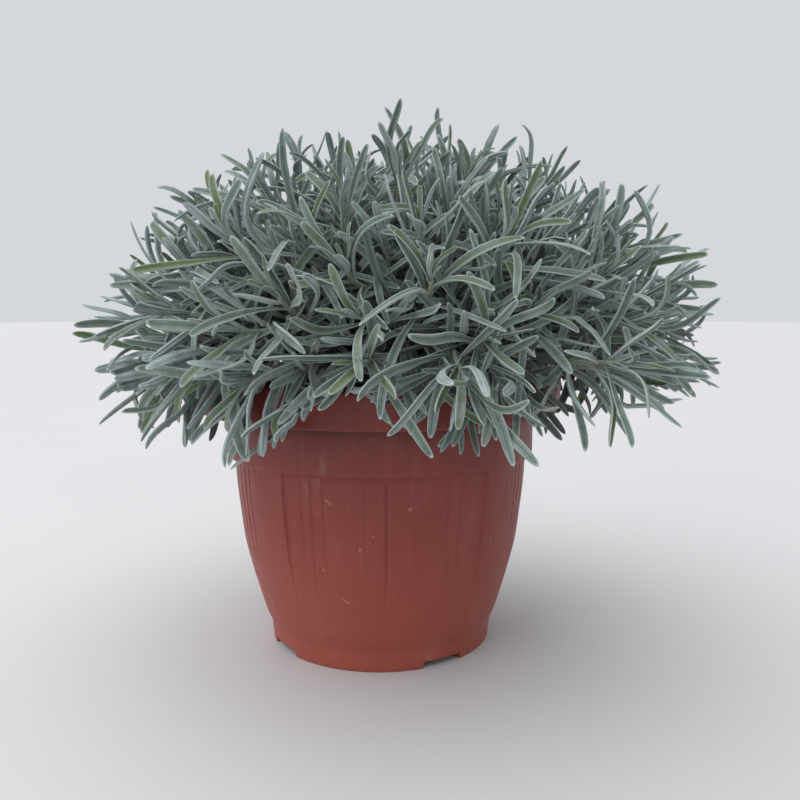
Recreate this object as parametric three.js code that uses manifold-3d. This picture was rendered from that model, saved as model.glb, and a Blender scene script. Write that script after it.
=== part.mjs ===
// A bushy lavender plant in a round plastic nursery pot with an overhanging rim.
//
// Millimetres, +Z up. The pot stands on z = 0. The plant is grown around the
// pot's axis, and the whole is then moved sideways so that the middle of its
// outline is over the origin.
//
// Pieces: the pot, the soil in it, the woody base that comes out of the soil,
// and one piece for each branch with its side shoot and its leading leaves.

import * as THREE from 'three';
import { mergeVertices } from 'three/addons/utils/BufferGeometryUtils.js';
import Module from 'manifold-3d';

const wasm = await Module();
wasm.setup();

// ---------- pot ----------
const RIM_RADIUS = 120;
const RIM_TOP = 178.5;
const RIM_SKIRT_BOTTOM = 156.5;
const RIM_SKIRT_WALL = 2.2;
const COLLAR_RADIUS = 102.3;
const COLLAR_BOTTOM = 127;
const FOOT_RADIUS = 74;
const FOOT_RING_INNER = 70;
const FLOOR_UNDERSIDE = 5;
const FLOOR_TOP = 7.6;
const PANEL_CENTRE = 3.5;
const PANEL_DEPTH = 1.4;
const PANEL_FADE_LOW = 48;
const PANEL_FADE_HIGH = 92;
const GROOVE_DEPTH = 0.6;
const NOTCH_COUNT = 4;
const NOTCH_CENTRE = 33;
const NOTCH_WIDTH = 28;
const NOTCH_HEIGHT = 4.5;
const DRAIN_COUNT = 4;
const DRAIN_RADIUS = 5;
const DRAIN_CIRCLE = 45;

// ---------- soil ----------
const SOIL_GAP = 0.5;
const SOIL_TOP = 165;
const SOIL_LUMP = 1.6;

// ---------- woody base ----------
const TRUNK_RADIUS = 7;
const TRUNK_BURIED = 14;
const TRUNK_TOP = 178;
const TRUNK_GAP = 0.5;
const LIMB_COUNT = 13;
const LIMB_RADIUS = 2.8;
const LIMB_REACH = 30;
const LIMB_RISE = 19;
const LIMB_LAG = 37;
const KNOT_RADIUS = 6;

// ---------- shoots ----------
const BLOCKS = 4;
const SHOOT_TIPS = 2 * BLOCKS * LIMB_COUNT;
const GOLDEN_ANGLE = 137.50776;
const LOWEST = -0.07;
const HIGHEST = 0.985;
const TIP_CENTRE = [20, 0, 186];
const TIP_RADII = [158, 160, 118];
const TIP_SHOULDER = 0.1;
const STEM_RADIUS = 1.5;
const SIDE_STEM_RADIUS = 1.25;
const STEM_START_GAP = 2.2;
const SIDE_START = 0.5;
const STEM_STEPS = 4;
const SIDE_STEM_STEPS = 3;
const SEED = 47;
// A few stems bulge more or less than usual, or come from a neighbouring limb,
// so that they pass their neighbours.
const USUAL_RISE = 5;
const RISE = { 34: 18, 48: -6, 49: 12, 50: -3 };
const OTHER_LIMB = { 50: 6 };

// ---------- leaves ----------
const PAIR_SETBACK = [2, 7, 13, 20, 29, 40, 54];
const PAIR_LENGTH = [27, 42, 53, 59, 60, 57, 52];
const PAIR_ANGLE = [9, 17, 27, 38, 50, 62, 72];
const PAIR_ARCH = [0.1, 0.16, 0.2, 0.2, 0.16, 0.1, 0.04];
const LEAF_DROOP = 0.2;
const LEAF_WIDTH = 5.6;
const LEAF_KEEL = 1.3;
const HANG_LOWEST = 146;
const CAD_PAIRS = [1, 3];
const CLEARANCE = 0.32;
const FINEST = 0.15;

const RED_PLASTIC = { color: 0x884a41, roughness: 0.55, metalness: 0 };
const PEAT = { color: 0x2e241d, roughness: 0.95, metalness: 0 };
const BARK = { color: 0x5d5346, roughness: 0.9, metalness: 0 };
const GREY_LEAF = { color: 0x76857c, roughness: 0.8, metalness: 0 };

const rad = THREE.MathUtils.degToRad;

// A repeatable number from 0 to 1 for three whole-number keys.
function chance(a, b, c) {
  let h = (Math.imul(a + 11, 374761393) ^ Math.imul(b + 7, 668265263)) >>> 0;
  h = (h ^ Math.imul(c + 3, 2246822519)) >>> 0;
  h = Math.imul(h ^ (h >>> 15), 2246822519) >>> 0;
  h = Math.imul(h ^ (h >>> 13), 3266489917) >>> 0;
  h = (h ^ (h >>> 16)) >>> 0;
  return h / 4294967296;
}

function spread(a, b, c) {
  return 2 * chance(a, b, c) - 1;
}

function smooth(low, high, x) {
  const t = Math.min(1, Math.max(0, (x - low) / (high - low)));
  return t * t * (3 - 2 * t);
}

// ---------- solids ----------
function toSolid(geometry) {
  const bare = geometry.clone();
  bare.deleteAttribute('normal');
  bare.deleteAttribute('uv');
  const joined = mergeVertices(bare, 1e-4);
  const positions = new Float32Array(joined.attributes.position.array);
  const corners = new Uint32Array(joined.index.array);
  const kept = [];
  for (let i = 0; i < corners.length; i += 3) {
    const [a, b, c] = [corners[i], corners[i + 1], corners[i + 2]];
    if (a !== b && b !== c && c !== a) {
      kept.push(a, b, c);
    }
  }
  const mesh = new wasm.Mesh({ numProp: 3, vertProperties: positions, triVerts: new Uint32Array(kept) });
  return new wasm.Manifold(mesh);
}

function toMesh(name, solid, look, shift) {
  const mesh = solid.getMesh();
  const geometry = new THREE.BufferGeometry();
  geometry.setAttribute('position', new THREE.BufferAttribute(new Float32Array(mesh.vertProperties), 3));
  geometry.setIndex(new THREE.BufferAttribute(new Uint32Array(mesh.triVerts), 1));
  geometry.translate(shift.x, shift.y, 0);
  geometry.computeVertexNormals();
  const material = new THREE.MeshStandardMaterial({ ...look, flatShading: true });
  const node = new THREE.Mesh(geometry, material);
  node.name = name;
  return node;
}

// ---------- pot ----------
// Around a quarter of the pot, from one pilaster's middle to the next, in
// degrees from the middle of the panel.
const QUARTER = [
  -45, -38.9, -37.7, -31, -26.5, -17, -8,
  0, 8, 17, 26.5, 31, 37.7, 38.9,
];

function potProfile() {
  const outside = [
    [FOOT_RADIUS, 0], [75.6, 13], [76.6, 15.6], [81.2, 28],
    [87.6, 50], [93.1, 70], [96, 90], [98.3, 110], [99, COLLAR_BOTTOM - 1.2],
    [101.6, COLLAR_BOTTOM], [COLLAR_RADIUS, COLLAR_BOTTOM + 2],
    [COLLAR_RADIUS + 0.2, RIM_TOP - 4.2],
  ];
  const rim = [
    [RIM_RADIUS - RIM_SKIRT_WALL, RIM_TOP - 4.2],
    [RIM_RADIUS - RIM_SKIRT_WALL, RIM_SKIRT_BOTTOM],
    [RIM_RADIUS, RIM_SKIRT_BOTTOM],
    [RIM_RADIUS, RIM_TOP - 1.8],
    [RIM_RADIUS - 1.6, RIM_TOP],
    [COLLAR_RADIUS - 1, RIM_TOP],
    [COLLAR_RADIUS - 2.6, RIM_TOP - 1.8],
  ];
  const inside = [
    [99.6, 130], [96, 122], [90.4, 70], [85, 50], [73.4, FLOOR_TOP],
  ];
  const under = [[FOOT_RING_INNER, FLOOR_UNDERSIDE], [FOOT_RING_INNER, 0], [FOOT_RADIUS, 0]];
  const ring = [...outside, ...rim, ...inside];
  return [[0, FLOOR_UNDERSIDE], ...under, ...ring.slice(1), [0, FLOOR_TOP]]
    .map(([r, z]) => new THREE.Vector2(r, z));
}

function panelDepth(degrees, z) {
  const away = Math.abs(degrees);
  if (z < PANEL_FADE_LOW - 1 || z > COLLAR_BOTTOM - 1 || away > 37.8) {
    return 0;
  }
  const fade = smooth(PANEL_FADE_LOW - 14, PANEL_FADE_HIGH, z);
  const strip = away < 7.9 ? 0.35 : 0;
  const line = away < 0.1 || Math.abs(away - 26.5) < 0.1 ? GROOVE_DEPTH : 0;
  return (PANEL_DEPTH + strip) * fade + line * Math.sqrt(fade);
}

function makePot() {
  const segments = 4 * QUARTER.length;
  const profile = potProfile();
  const lathe = new THREE.LatheGeometry(profile, segments);
  lathe.rotateX(Math.PI / 2);
  const points = lathe.attributes.position;
  const rows = profile.length;
  for (let i = 0; i < points.count; i += 1) {
    const column = Math.floor(i / rows) % segments;
    const quarter = Math.floor(column / QUARTER.length);
    const local = QUARTER[column % QUARTER.length];
    const z = points.getZ(i);
    const radius = profile[i % rows].x;
    const outer = i % rows > 3 && i % rows < 13;
    const turn = rad(-90 + PANEL_CENTRE + 90 * quarter + local);
    const r = radius - (outer ? panelDepth(local, z) : 0);
    points.setXY(i, r * Math.cos(turn), r * Math.sin(turn));
  }
  let pot = toSolid(lathe);
  for (let k = 0; k < NOTCH_COUNT; k += 1) {
    const notch = new THREE.BoxGeometry(NOTCH_WIDTH, 20, 2 * NOTCH_HEIGHT);
    notch.translate(0, -FOOT_RADIUS, 0);
    notch.rotateZ(rad(NOTCH_CENTRE + (k * 360) / NOTCH_COUNT));
    pot = pot.subtract(toSolid(notch));
  }
  for (let k = 0; k < DRAIN_COUNT; k += 1) {
    const drain = new THREE.CylinderGeometry(DRAIN_RADIUS, DRAIN_RADIUS, 30, 10);
    drain.rotateX(Math.PI / 2);
    drain.translate(DRAIN_CIRCLE, 0, FLOOR_TOP);
    drain.rotateZ(rad(PANEL_CENTRE + 45 + (k * 360) / DRAIN_COUNT));
    pot = pot.subtract(toSolid(drain));
  }
  return pot;
}

// ---------- soil ----------
function makeSoil() {
  const hole = TRUNK_RADIUS + 0.6 + TRUNK_GAP;
  const bottom = SOIL_TOP - TRUNK_BURIED - TRUNK_GAP;
  const profile = [
    [0, FLOOR_TOP + SOIL_GAP], [72.6, FLOOR_TOP + SOIL_GAP], [84, 50],
    [89.4, 70], [95, 122], [98.5, 131], [98.6, SOIL_TOP - 1],
    [84, SOIL_TOP], [62, SOIL_TOP + 1.5], [38, SOIL_TOP + 1], [hole + 9, SOIL_TOP + 2],
    [hole, SOIL_TOP + 1], [hole, bottom], [0, bottom],
  ].map(([r, z]) => new THREE.Vector2(r, z));
  const segments = 28;
  const lathe = new THREE.LatheGeometry(profile, segments);
  lathe.rotateX(Math.PI / 2);
  const points = lathe.attributes.position;
  for (let i = 0; i < points.count; i += 1) {
    const row = i % profile.length;
    const column = Math.floor(i / profile.length) % segments;
    if (row >= 6 && row <= 10) {
      points.setZ(i, points.getZ(i) + SOIL_LUMP * spread(row, column, 900));
    }
  }
  return toSolid(lathe);
}

// ---------- where the shoots go ----------
function limbEnd(limb) {
  const turn = rad(limb * GOLDEN_ANGLE - LIMB_LAG);
  const reach = LIMB_REACH + 4 * spread(limb, 0, 31);
  const rise = LIMB_RISE + 5 * spread(limb, 1, 31);
  return new THREE.Vector3(reach * Math.cos(turn), reach * Math.sin(turn), TRUNK_TOP - 6 + rise);
}

// The end of a shoot and the way it points there.
function shootTip(index) {
  const share = (index + 0.5) / SHOOT_TIPS;
  const height = HIGHEST + (LOWEST - HIGHEST) * share;
  const side = Math.sqrt(1 - height * height);
  const turn = rad(index * GOLDEN_ANGLE + 9 * spread(index, 0, SEED));
  const size = 1 + 0.075 * spread(index, 1, SEED) + TIP_SHOULDER * side * Math.max(0, height);
  const across = side * size;
  const point = new THREE.Vector3(
    TIP_CENTRE[0] * across + TIP_RADII[0] * across * Math.cos(turn),
    TIP_CENTRE[1] + TIP_RADII[1] * across * Math.sin(turn),
    TIP_CENTRE[2] + TIP_RADII[2] * height * size + (height < 0.15 ? 5 * spread(index, 2, SEED) : 0),
  );
  const lift = rad(-16 + 98 * Math.pow(Math.max(0, height + 0.07), 0.75) + 9 * spread(index, 3, SEED));
  const way = new THREE.Vector3(
    Math.cos(lift) * Math.cos(turn),
    Math.cos(lift) * Math.sin(turn),
    Math.sin(lift),
  );
  return { point, way, turn, height };
}

// A stem from a start point to a shoot's end, rising first and then leaning out.
function stemCurve(start, startWay, tip, rise) {
  const span = start.distanceTo(tip.point);
  const first = start.clone().addScaledVector(startWay, span * 0.36);
  first.z += rise;
  const second = tip.point.clone().addScaledVector(tip.way, -span * 0.34);
  if (tip.height < 0.3) {
    second.z += 6;
  }
  return new THREE.CubicBezierCurve3(start, first, second, tip.point.clone());
}

function branchTips(branch) {
  const block = Math.floor(branch / LIMB_COUNT);
  const place = branch % LIMB_COUNT;
  const main = 2 * LIMB_COUNT * block + place;
  return { limb: OTHER_LIMB[branch] ?? place, main, side: main + LIMB_COUNT };
}

function mainStem(branch) {
  const { limb, main } = branchTips(branch);
  const tip = shootTip(main);
  const from = limbEnd(limb);
  const way = tip.point.clone().sub(from);
  way.z *= 0.75;
  way.z += 22;
  way.normalize();
  const start = from.clone().addScaledVector(way, KNOT_RADIUS + STEM_START_GAP);
  return { curve: stemCurve(start, way, tip, RISE[branch] ?? USUAL_RISE), tip };
}

function sideStem(branch, main) {
  const { side } = branchTips(branch);
  const tip = shootTip(side);
  const start = main.curve.getPointAt(SIDE_START);
  const way = main.curve.getTangentAt(SIDE_START);
  const toTip = tip.point.clone().sub(start).normalize();
  way.multiplyScalar(0.5).add(toTip).normalize();
  return { curve: stemCurve(start, way, tip, 2), tip };
}

// ---------- leaves ----------
// A place on a stem, measured back from its end in millimetres. It lies on the
// straight pieces that the stem is drawn with.
function setback(curve, distance, steps) {
  const u = Math.max(0.03, 1 - distance / curve.getLength());
  const piece = Math.min(steps - 1, Math.floor(u * steps));
  const from = curve.getPointAt(piece / steps);
  const to = curve.getPointAt((piece + 1) / steps);
  return { at: from.lerp(to, u * steps - piece), way: curve.getTangentAt(u).normalize() };
}

// How low the leaves hang outside the rim. They hang less on the +X side, and
// part over the rim at the front.
function hangLimit(x, y) {
  const right = 0.22 * Math.max(0, x - 70);
  const parted = y < 0 ? 16 * Math.exp(-(((x + 20) / 30) ** 2)) : 0;
  return HANG_LOWEST + right + parted;
}

// Keeps a leaf off the pot: over the rim, outside its skirt, or above the soil.
function clearOfPot(p) {
  const r = Math.hypot(p.x, p.y);
  if (p.z > RIM_TOP + 3) {
    return true;
  }
  if (r > RIM_RADIUS + 3.4) {
    return p.z > hangLimit(p.x, p.y);
  }
  return r < COLLAR_RADIUS - 6 && p.z > SOIL_TOP + 4;
}

function leafPoint(leaf, u) {
  return leaf.base.clone()
    .addScaledVector(leaf.way, leaf.length * u)
    .addScaledVector(leaf.bend, leaf.length * u * u);
}

function makeLeaf(tipIndex, pair, hand, place) {
  const key = tipIndex * 16 + pair * 2 + hand;
  const up = Math.abs(place.way.z) > 0.92 ? new THREE.Vector3(1, 0, 0) : new THREE.Vector3(0, 0, 1);
  const east = new THREE.Vector3().crossVectors(up, place.way).normalize();
  const north = new THREE.Vector3().crossVectors(place.way, east).normalize();
  const turn = rad(tipIndex * 67 + pair * 90 + hand * 180 + 16 * spread(key, 0, 51));
  const out = east.clone().multiplyScalar(Math.cos(turn)).addScaledVector(north, Math.sin(turn));
  const lean = rad(PAIR_ANGLE[pair] * (1 + 0.22 * spread(key, 1, 51)));
  const length = PAIR_LENGTH[pair] * (0.92 + 0.16 * spread(key, 2, 51));
  const way = place.way.clone().multiplyScalar(Math.cos(lean)).addScaledVector(out, Math.sin(lean));
  const arch = PAIR_ARCH[pair] * (1 + 0.9 * spread(key, 3, 51));
  const bend = out.clone().multiplyScalar(arch);
  bend.z -= LEAF_DROOP * (pair / 6) * (0.6 + 0.8 * chance(key, 4, 51));
  const across = new THREE.Vector3().crossVectors(place.way, out).normalize();
  const leaf = {
    base: place.at.clone(), way, bend, across, length, pair,
    width: LEAF_WIDTH * (0.86 + 0.2 * chance(key, 5, 51)) * (pair === 0 ? 0.6 : 1),
    twist: 0.64 * spread(key, 6, 51),
  };
  for (let tries = 0; tries < 9; tries += 1) {
    const points = [0.3, 0.45, 0.6, 0.75, 0.9, 1].map((u) => leafPoint(leaf, u));
    if (points.every(clearOfPot)) {
      return leaf;
    }
    leaf.way.z += 0.13;
    leaf.way.normalize();
    leaf.bend.z += 0.05;
  }
  return null;
}

function leafHalfWidth(leaf, u) {
  return 0.5 * leaf.width * (0.36 + 0.64 * smooth(0, 0.42, u)) * Math.sqrt(Math.max(0, 1 - Math.pow(u, 7)));
}

// A leaf as a long cone with three sides, drawn out along its curve: its two
// edges and the keel under its midrib.
function leafSolid(leaf) {
  const cone = new THREE.ConeGeometry(1, 1, 3, 2);
  const points = cone.attributes.position;
  const stops = [0, 0.6, 1];
  for (let i = 0; i < points.count; i += 1) {
    const row = Math.round((points.getY(i) + 0.5) * 2);
    const u = stops[row];
    const corner = Math.round(Math.atan2(points.getX(i), points.getZ(i)) / rad(120));
    const centre = leafPoint(leaf, u);
    const along = leaf.way.clone().addScaledVector(leaf.bend, 2 * u).normalize();
    const side = leaf.across.clone().applyAxisAngle(along, leaf.twist * u);
    side.addScaledVector(along, -side.dot(along)).normalize();
    const under = new THREE.Vector3().crossVectors(side, along);
    const hub = Math.hypot(points.getX(i), points.getZ(i)) < 1e-6;
    if (!hub && row < 2) {
      const half = leafHalfWidth(leaf, u);
      if (corner === 0) {
        centre.addScaledVector(under, LEAF_KEEL * (row === 0 ? 0.4 : 1));
      } else {
        centre.addScaledVector(side, corner * half * (row === 0 ? 0.5 : 1));
      }
    }
    points.setXYZ(i, centre.x, centre.y, centre.z);
  }
  return toSolid(cone);
}

// ---------- stems ----------
function tube(curve, radius, sides, steps) {
  const outline = new THREE.Shape();
  for (let i = 0; i < sides; i += 1) {
    const turn = (i / sides) * 2 * Math.PI;
    const [x, y] = [radius * Math.cos(turn), radius * Math.sin(turn)];
    if (i === 0) {
      outline.moveTo(x, y);
    } else {
      outline.lineTo(x, y);
    }
  }
  outline.closePath();
  return toSolid(new THREE.ExtrudeGeometry(outline, { steps, bevelEnabled: false, extrudePath: curve }));
}

function makeWoodyBase() {
  const trunk = new THREE.CylinderGeometry(
    TRUNK_RADIUS + 0.4, TRUNK_RADIUS, TRUNK_TOP - SOIL_TOP + TRUNK_BURIED, 12, 1,
  );
  trunk.rotateX(Math.PI / 2);
  trunk.translate(0, 0, (TRUNK_TOP + SOIL_TOP - TRUNK_BURIED) / 2);
  const pieces = [toSolid(trunk)];
  const crown = new THREE.SphereGeometry(TRUNK_RADIUS + 3, 10, 5);
  crown.scale(1, 1, 0.7);
  crown.translate(0, 0, TRUNK_TOP);
  pieces.push(toSolid(crown));
  for (let limb = 0; limb < LIMB_COUNT; limb += 1) {
    const end = limbEnd(limb);
    const start = new THREE.Vector3(0, 0, TRUNK_TOP - 2);
    const elbow = end.clone().multiplyScalar(0.6);
    elbow.z = TRUNK_TOP + 1 + 0.3 * (end.z - TRUNK_TOP);
    const path = new THREE.QuadraticBezierCurve3(start, elbow, end);
    pieces.push(tube(path, LIMB_RADIUS, 5, 3));
    const knot = new THREE.SphereGeometry(KNOT_RADIUS, 6, 4);
    knot.rotateX(Math.PI / 2);
    knot.translate(end.x, end.y, end.z);
    pieces.push(toSolid(knot));
  }
  return wasm.Manifold.union(pieces).simplify(FINEST);
}

// ---------- growing ----------
const fixed = [makePot(), makeSoil(), makeWoodyBase()];

function boxesNear(a, b, gap) {
  const [p, q] = [a.boundingBox(), b.boundingBox()];
  return [0, 1, 2].every((k) => p.min[k] < q.max[k] + gap && q.min[k] < p.max[k] + gap);
}

function isClear(solid, others) {
  return others.every((other) => !boxesNear(solid, other, CLEARANCE)
    || solid.minGap(other, CLEARANCE) >= CLEARANCE);
}

// Two pairs of leaves for a shoot, which stand for all of its leaves.
function leafSolids(curve, tipIndex, steps) {
  const grown = [];
  for (const pair of CAD_PAIRS) {
    const place = setback(curve, PAIR_SETBACK[pair], steps);
    for (const hand of [0, 1]) {
      const leaf = makeLeaf(tipIndex, pair, hand, place);
      if (leaf) {
        grown.push(leafSolid(leaf));
      }
    }
  }
  return grown;
}

const stems = [];
const leafSets = [];
for (let branch = 0; branch < BLOCKS * LIMB_COUNT; branch += 1) {
  const main = mainStem(branch);
  const side = sideStem(branch, main);
  const mainTube = tube(main.curve, STEM_RADIUS, 4, STEM_STEPS);
  const sideTube = tube(side.curve, SIDE_STEM_RADIUS, 4, SIDE_STEM_STEPS);
  stems.push(mainTube.add(sideTube).simplify(FINEST));
  const { main: mainIndex, side: sideIndex } = branchTips(branch);
  leafSets.push([
    ...leafSolids(main.curve, mainIndex, STEM_STEPS),
    ...leafSolids(side.curve, sideIndex, SIDE_STEM_STEPS),
  ]);
}

// Leaves that would touch another branch, the pot or the soil are left off.
const kept = stems.map(() => []);
stems.forEach((stem, branch) => {
  const neighbours = stems.filter((other) => other !== stem);
  for (const leaf of leafSets[branch]) {
    const leaves = kept.flatMap((grown, k) => (k === branch ? [] : grown));
    if (isClear(leaf, [...fixed, ...neighbours, ...leaves])) {
      kept[branch].push(leaf);
    }
  }
});
const branches = stems.map((stem, k) => wasm.Manifold.union([stem, ...kept[k]]).simplify(FINEST));

// ---------- putting it together ----------
const whole = new THREE.Box3();
for (const solid of [...fixed, ...branches]) {
  const box = solid.boundingBox();
  whole.expandByPoint(new THREE.Vector3(...box.min));
  whole.expandByPoint(new THREE.Vector3(...box.max));
}
const middle = whole.getCenter(new THREE.Vector3()).round();
const shift = middle.negate();

const group = new THREE.Group();
group.add(toMesh('pot', fixed[0], RED_PLASTIC, shift));
group.add(toMesh('soil', fixed[1], PEAT, shift));
group.add(toMesh('woody_base', fixed[2], BARK, shift));
branches.forEach((solid, k) => {
  const name = `branch_${String(k + 1).padStart(2, '0')}`;
  group.add(toMesh(name, solid, GREY_LEAF, shift));
});

export default group;
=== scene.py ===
"""A bushy lavender plant in a round terracotta-coloured plastic nursery pot.

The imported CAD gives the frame. Every leaf, stem and pot surface is made here as
mesh, and each branch stands for the CAD branch of the same number. The shoots
grow by the same rule as in the CAD, in millimetres around the pot's axis, and
go into the row frame in metres.
"""

import math

import bpy
import numpy as np
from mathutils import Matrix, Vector


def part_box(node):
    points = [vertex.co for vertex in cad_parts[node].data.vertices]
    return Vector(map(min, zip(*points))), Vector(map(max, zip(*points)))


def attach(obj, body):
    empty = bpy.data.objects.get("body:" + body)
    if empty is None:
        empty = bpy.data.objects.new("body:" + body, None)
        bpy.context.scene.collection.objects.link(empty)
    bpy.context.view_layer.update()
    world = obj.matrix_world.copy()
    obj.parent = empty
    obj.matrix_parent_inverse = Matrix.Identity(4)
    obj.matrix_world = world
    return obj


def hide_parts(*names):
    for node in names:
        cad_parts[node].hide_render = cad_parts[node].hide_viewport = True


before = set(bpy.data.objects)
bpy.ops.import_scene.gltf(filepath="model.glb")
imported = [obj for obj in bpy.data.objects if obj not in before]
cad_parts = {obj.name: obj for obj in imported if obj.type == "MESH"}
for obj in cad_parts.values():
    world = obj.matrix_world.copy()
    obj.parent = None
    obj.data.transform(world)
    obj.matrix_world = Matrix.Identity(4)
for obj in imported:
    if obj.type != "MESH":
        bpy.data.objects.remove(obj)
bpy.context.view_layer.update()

# Lengths are in millimetres and angles in degrees, up to the light and the camera.
# A range that is drawn from is given as its least value and its width.

# ---------- the pot ----------
RIM_RADIUS = 120.0
RIM_TOP = 178.5
COLLAR_RADIUS = 102.3
PANEL_CENTRE = 3.5
PANEL_HALF = 38.3
PANEL_DEPTH = 1.4
PANEL_FADE = (34, 92)
PANEL_END = (126.4, 125.4)
EDGE_BLUR = 0.35
MIDDLE_HALF = 8.0
MIDDLE_DEPTH = 0.35
MIDDLE_BLUR = 0.3
# Each upright line's degrees from its panel's middle, its depth and the height where it starts.
PANEL_LINES = ((0, 0.75, 30), (22.3, 0.5, 48), (27, 0.6, 42), (31, 0.5, 48))
LINE_BLUR = (0.75, 0.05)
LINE_RISE = 45
NOTCH_CENTRE = 33.0
NOTCH_HALF_ANGLE = 11.0
NOTCH_HEIGHT = 4.5
DRAIN_RADIUS = 5.0
DRAIN_CIRCLE = 45.0
DRAIN_CUT = (2.5, 10.0)
DRAIN_SIDES = 28
FLOOR_TOP = 7.6
FLOOR_UNDERSIDE = 5.0
CREASE_ANGLE = 48
# How far apart the pot's columns and rows are, and where extra columns lie around a line or an edge.
COLUMN_STEP = 1.5
LEAST_STEP = 0.08
BY_A_LINE = (-0.9, -0.55, -0.3, -0.1, 0.1, 0.3, 0.55, 0.9)
BY_A_NOTCH = (-0.12, 0.12)
WALL_STEP = 2.5
INSIDE_STEP = 6

# The pot's section from the middle of its underside round to the middle of its floor: radius and height.
UNDERSIDE = [(r, FLOOR_UNDERSIDE) for r in (15, 30, 45, 60, 68)]
UNDERSIDE += [(69.4, 4.8), (70, 4.2), (70.1, 1), (70.3, 0.3), (70.9, 0)]
FOOT = [(73.2, 0), (73.75, 0.12), (74.15, 0.5), (74.3, 1.2), (74.6, 4.5), (75.0, 8), (75.4, 12)]
WALL = [(75.6, 13.2), (76.5, 15.4), (79.6, 22.8), (83.2, 35), (87.7, 50), (93.1, 70), (96.1, 90),
        (98.2, 110), (98.95, 125.2)]
COLLAR = [(99.1, 125.8), (99.7, 126.3), (100.8, 126.5), (101.6, 126.8), (102.1, 127.5), (102.3, 128.6)]
COLLAR += [(COLLAR_RADIUS, z) for z in (132, 138, 144, 150, 156, 162, 168)]
SKIRT = [(102.5, 172), (102.9, 173.5), (103.9, 174.2), (106, 174.3), (111, 174.3), (116, 174.3),
         (117.2, 174), (117.7, 173.2), (117.8, 172), (117.8, 166), (117.8, 158), (117.95, 157.1),
         (118.35, 156.65), (118.9, 156.5), (119.45, 156.65), (119.85, 157.1), (120, 157.8)]
RIM = [(119.9, 158.8), (119.85, 163), (119.9, 170), (119.95, 175.6), (119.85, 176.7), (119.4, 177.6),
       (118.7, 178.2), (117.7, 178.5), (113, 178.5), (107, 178.5), (102.6, 178.5), (101.2, 178.2),
       (100.2, 177.5), (99.8, 176.3), (99.7, 170), (99.7, 150), (99.6, 131), (99.2, 127), (97.2, 123.6)]
INSIDE = [(96, 121), (93.4, 95), (90.4, 70), (85, 50), (79.2, 28), (74.6, 11)]
FLOOR = [(74.1, 9.2), (73.2, 8), (71.6, FLOOR_TOP)] + [(r, FLOOR_TOP) for r in (60, 45, 30, 15)]
RECESS_EDGE = 69.0

# ---------- the soil ----------
SOIL_TOP = 165.0
SOIL_SIDE = [(0, 8.1), (40, 8.1), (72.6, 8.1), (84, 50), (89.4, 70), (94.6, 121), (98.4, 131), (98.6, 160),
             (98.4, 163.5)]
TRUNK_HOLE = [(7.9, SOIL_TOP - 1), (7.8, 152)]
SOIL_EDGE = 97
HOLE_EDGE = 8.5
SOIL_COLUMNS = 180
SOIL_RING_STEP = 1.6
LUMP_HEIGHT = 1.3
FINE_LUMP_HEIGHT = 0.35
LUMP_WAVES = 14
COARSE_LUMPS, FINE_LUMPS = 7, 9
MOUND_HEIGHT = 1.6
MOUND_REACH = 24
CRUMB_COUNT = 420
CRUMB_SIDES = 5
CRUMB_REACH = 94
CRUMB_FLATNESS = (0.35, 0.5)
CRUMB_CORNER = (0.8, 0.35)

# ---------- the woody base ----------
TRUNK_RADIUS = 7.0
TRUNK_FOOT = 152.0
TRUNK_TOP = 178.0
LIMB_COUNT = 13
LIMB_REACH = 30.0
LIMB_RISE = 19.0
LIMB_LAG = 37.0
LIMB_REACH_SPREAD = 4
LIMB_RISE_SPREAD = 5
LIMB_DROP = 6
LIMB_THICKNESS = (3.5, 2.7)
KNOT_RADIUS = 6.0
KNOT_ROWS, KNOT_SIDES = 9, 14
HEAD_SWELLING = 2.4
RINGS_ALONG = 14
TRUNK_SIDES, LIMB_SIDES = 24, 12
BARK_RIDGES = 0.09
BARK_LUMPS = 0.07
KNOT_WAVES = 0.10
KNOT_LUMPS = 0.05

# ---------- the shoots ----------
# Their tips lie on a dome, where a height of 1 is its top and 0 its widest ring.
BLOCKS = 4
BRANCHES = BLOCKS * LIMB_COUNT
SHOOT_TIPS = 2 * BRANCHES
GOLDEN_ANGLE = 137.50776
LOWEST = -0.07
HIGHEST = 0.985
TIP_CENTRE = (20.0, 0.0, 186.0)
TIP_RADII = (158.0, 160.0, 118.0)
TIP_SHOULDER = 0.1
TIP_TURN_SPREAD = 9
TIP_SIZE_SPREAD = 0.075
TIP_HEIGHT_SPREAD = 5
UNEVEN_BELOW = 0.15
LEAST_LIFT = -16
LIFT_RANGE = 98
LIFT_POWER = 0.75
LIFT_SPREAD = 9
STEM_START_GAP = 2.2
SIDE_START = 0.5
SEED = 47
START_PULL = 0.36
END_PULL = 0.34
ARCHING_BELOW = 0.3
ARCH_RISE = 6
START_STEEPNESS = 0.75
START_LIFT = 22
SIDE_RISE = 2.0
USUAL_RISE = 5.0
RISE = {34: 18.0, 48: -6.0, 49: 12.0, 50: -3.0}
OTHER_LIMB = {50: 6}
LOW_SHOOT = 0.2
# How thick a main stem, a side shoot and an inner shoot are at their start and end.
STEM_THICKNESS = ((1.75, 1.1), (1.4, 1.0), (1.1, 0.8))
STEM_SIDES = 12
STEM_STEP = 4
STEM_CORNERS = 0.10
JOINT_SWELLING = 0.16
JOINT_REACH = 2.2

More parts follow.
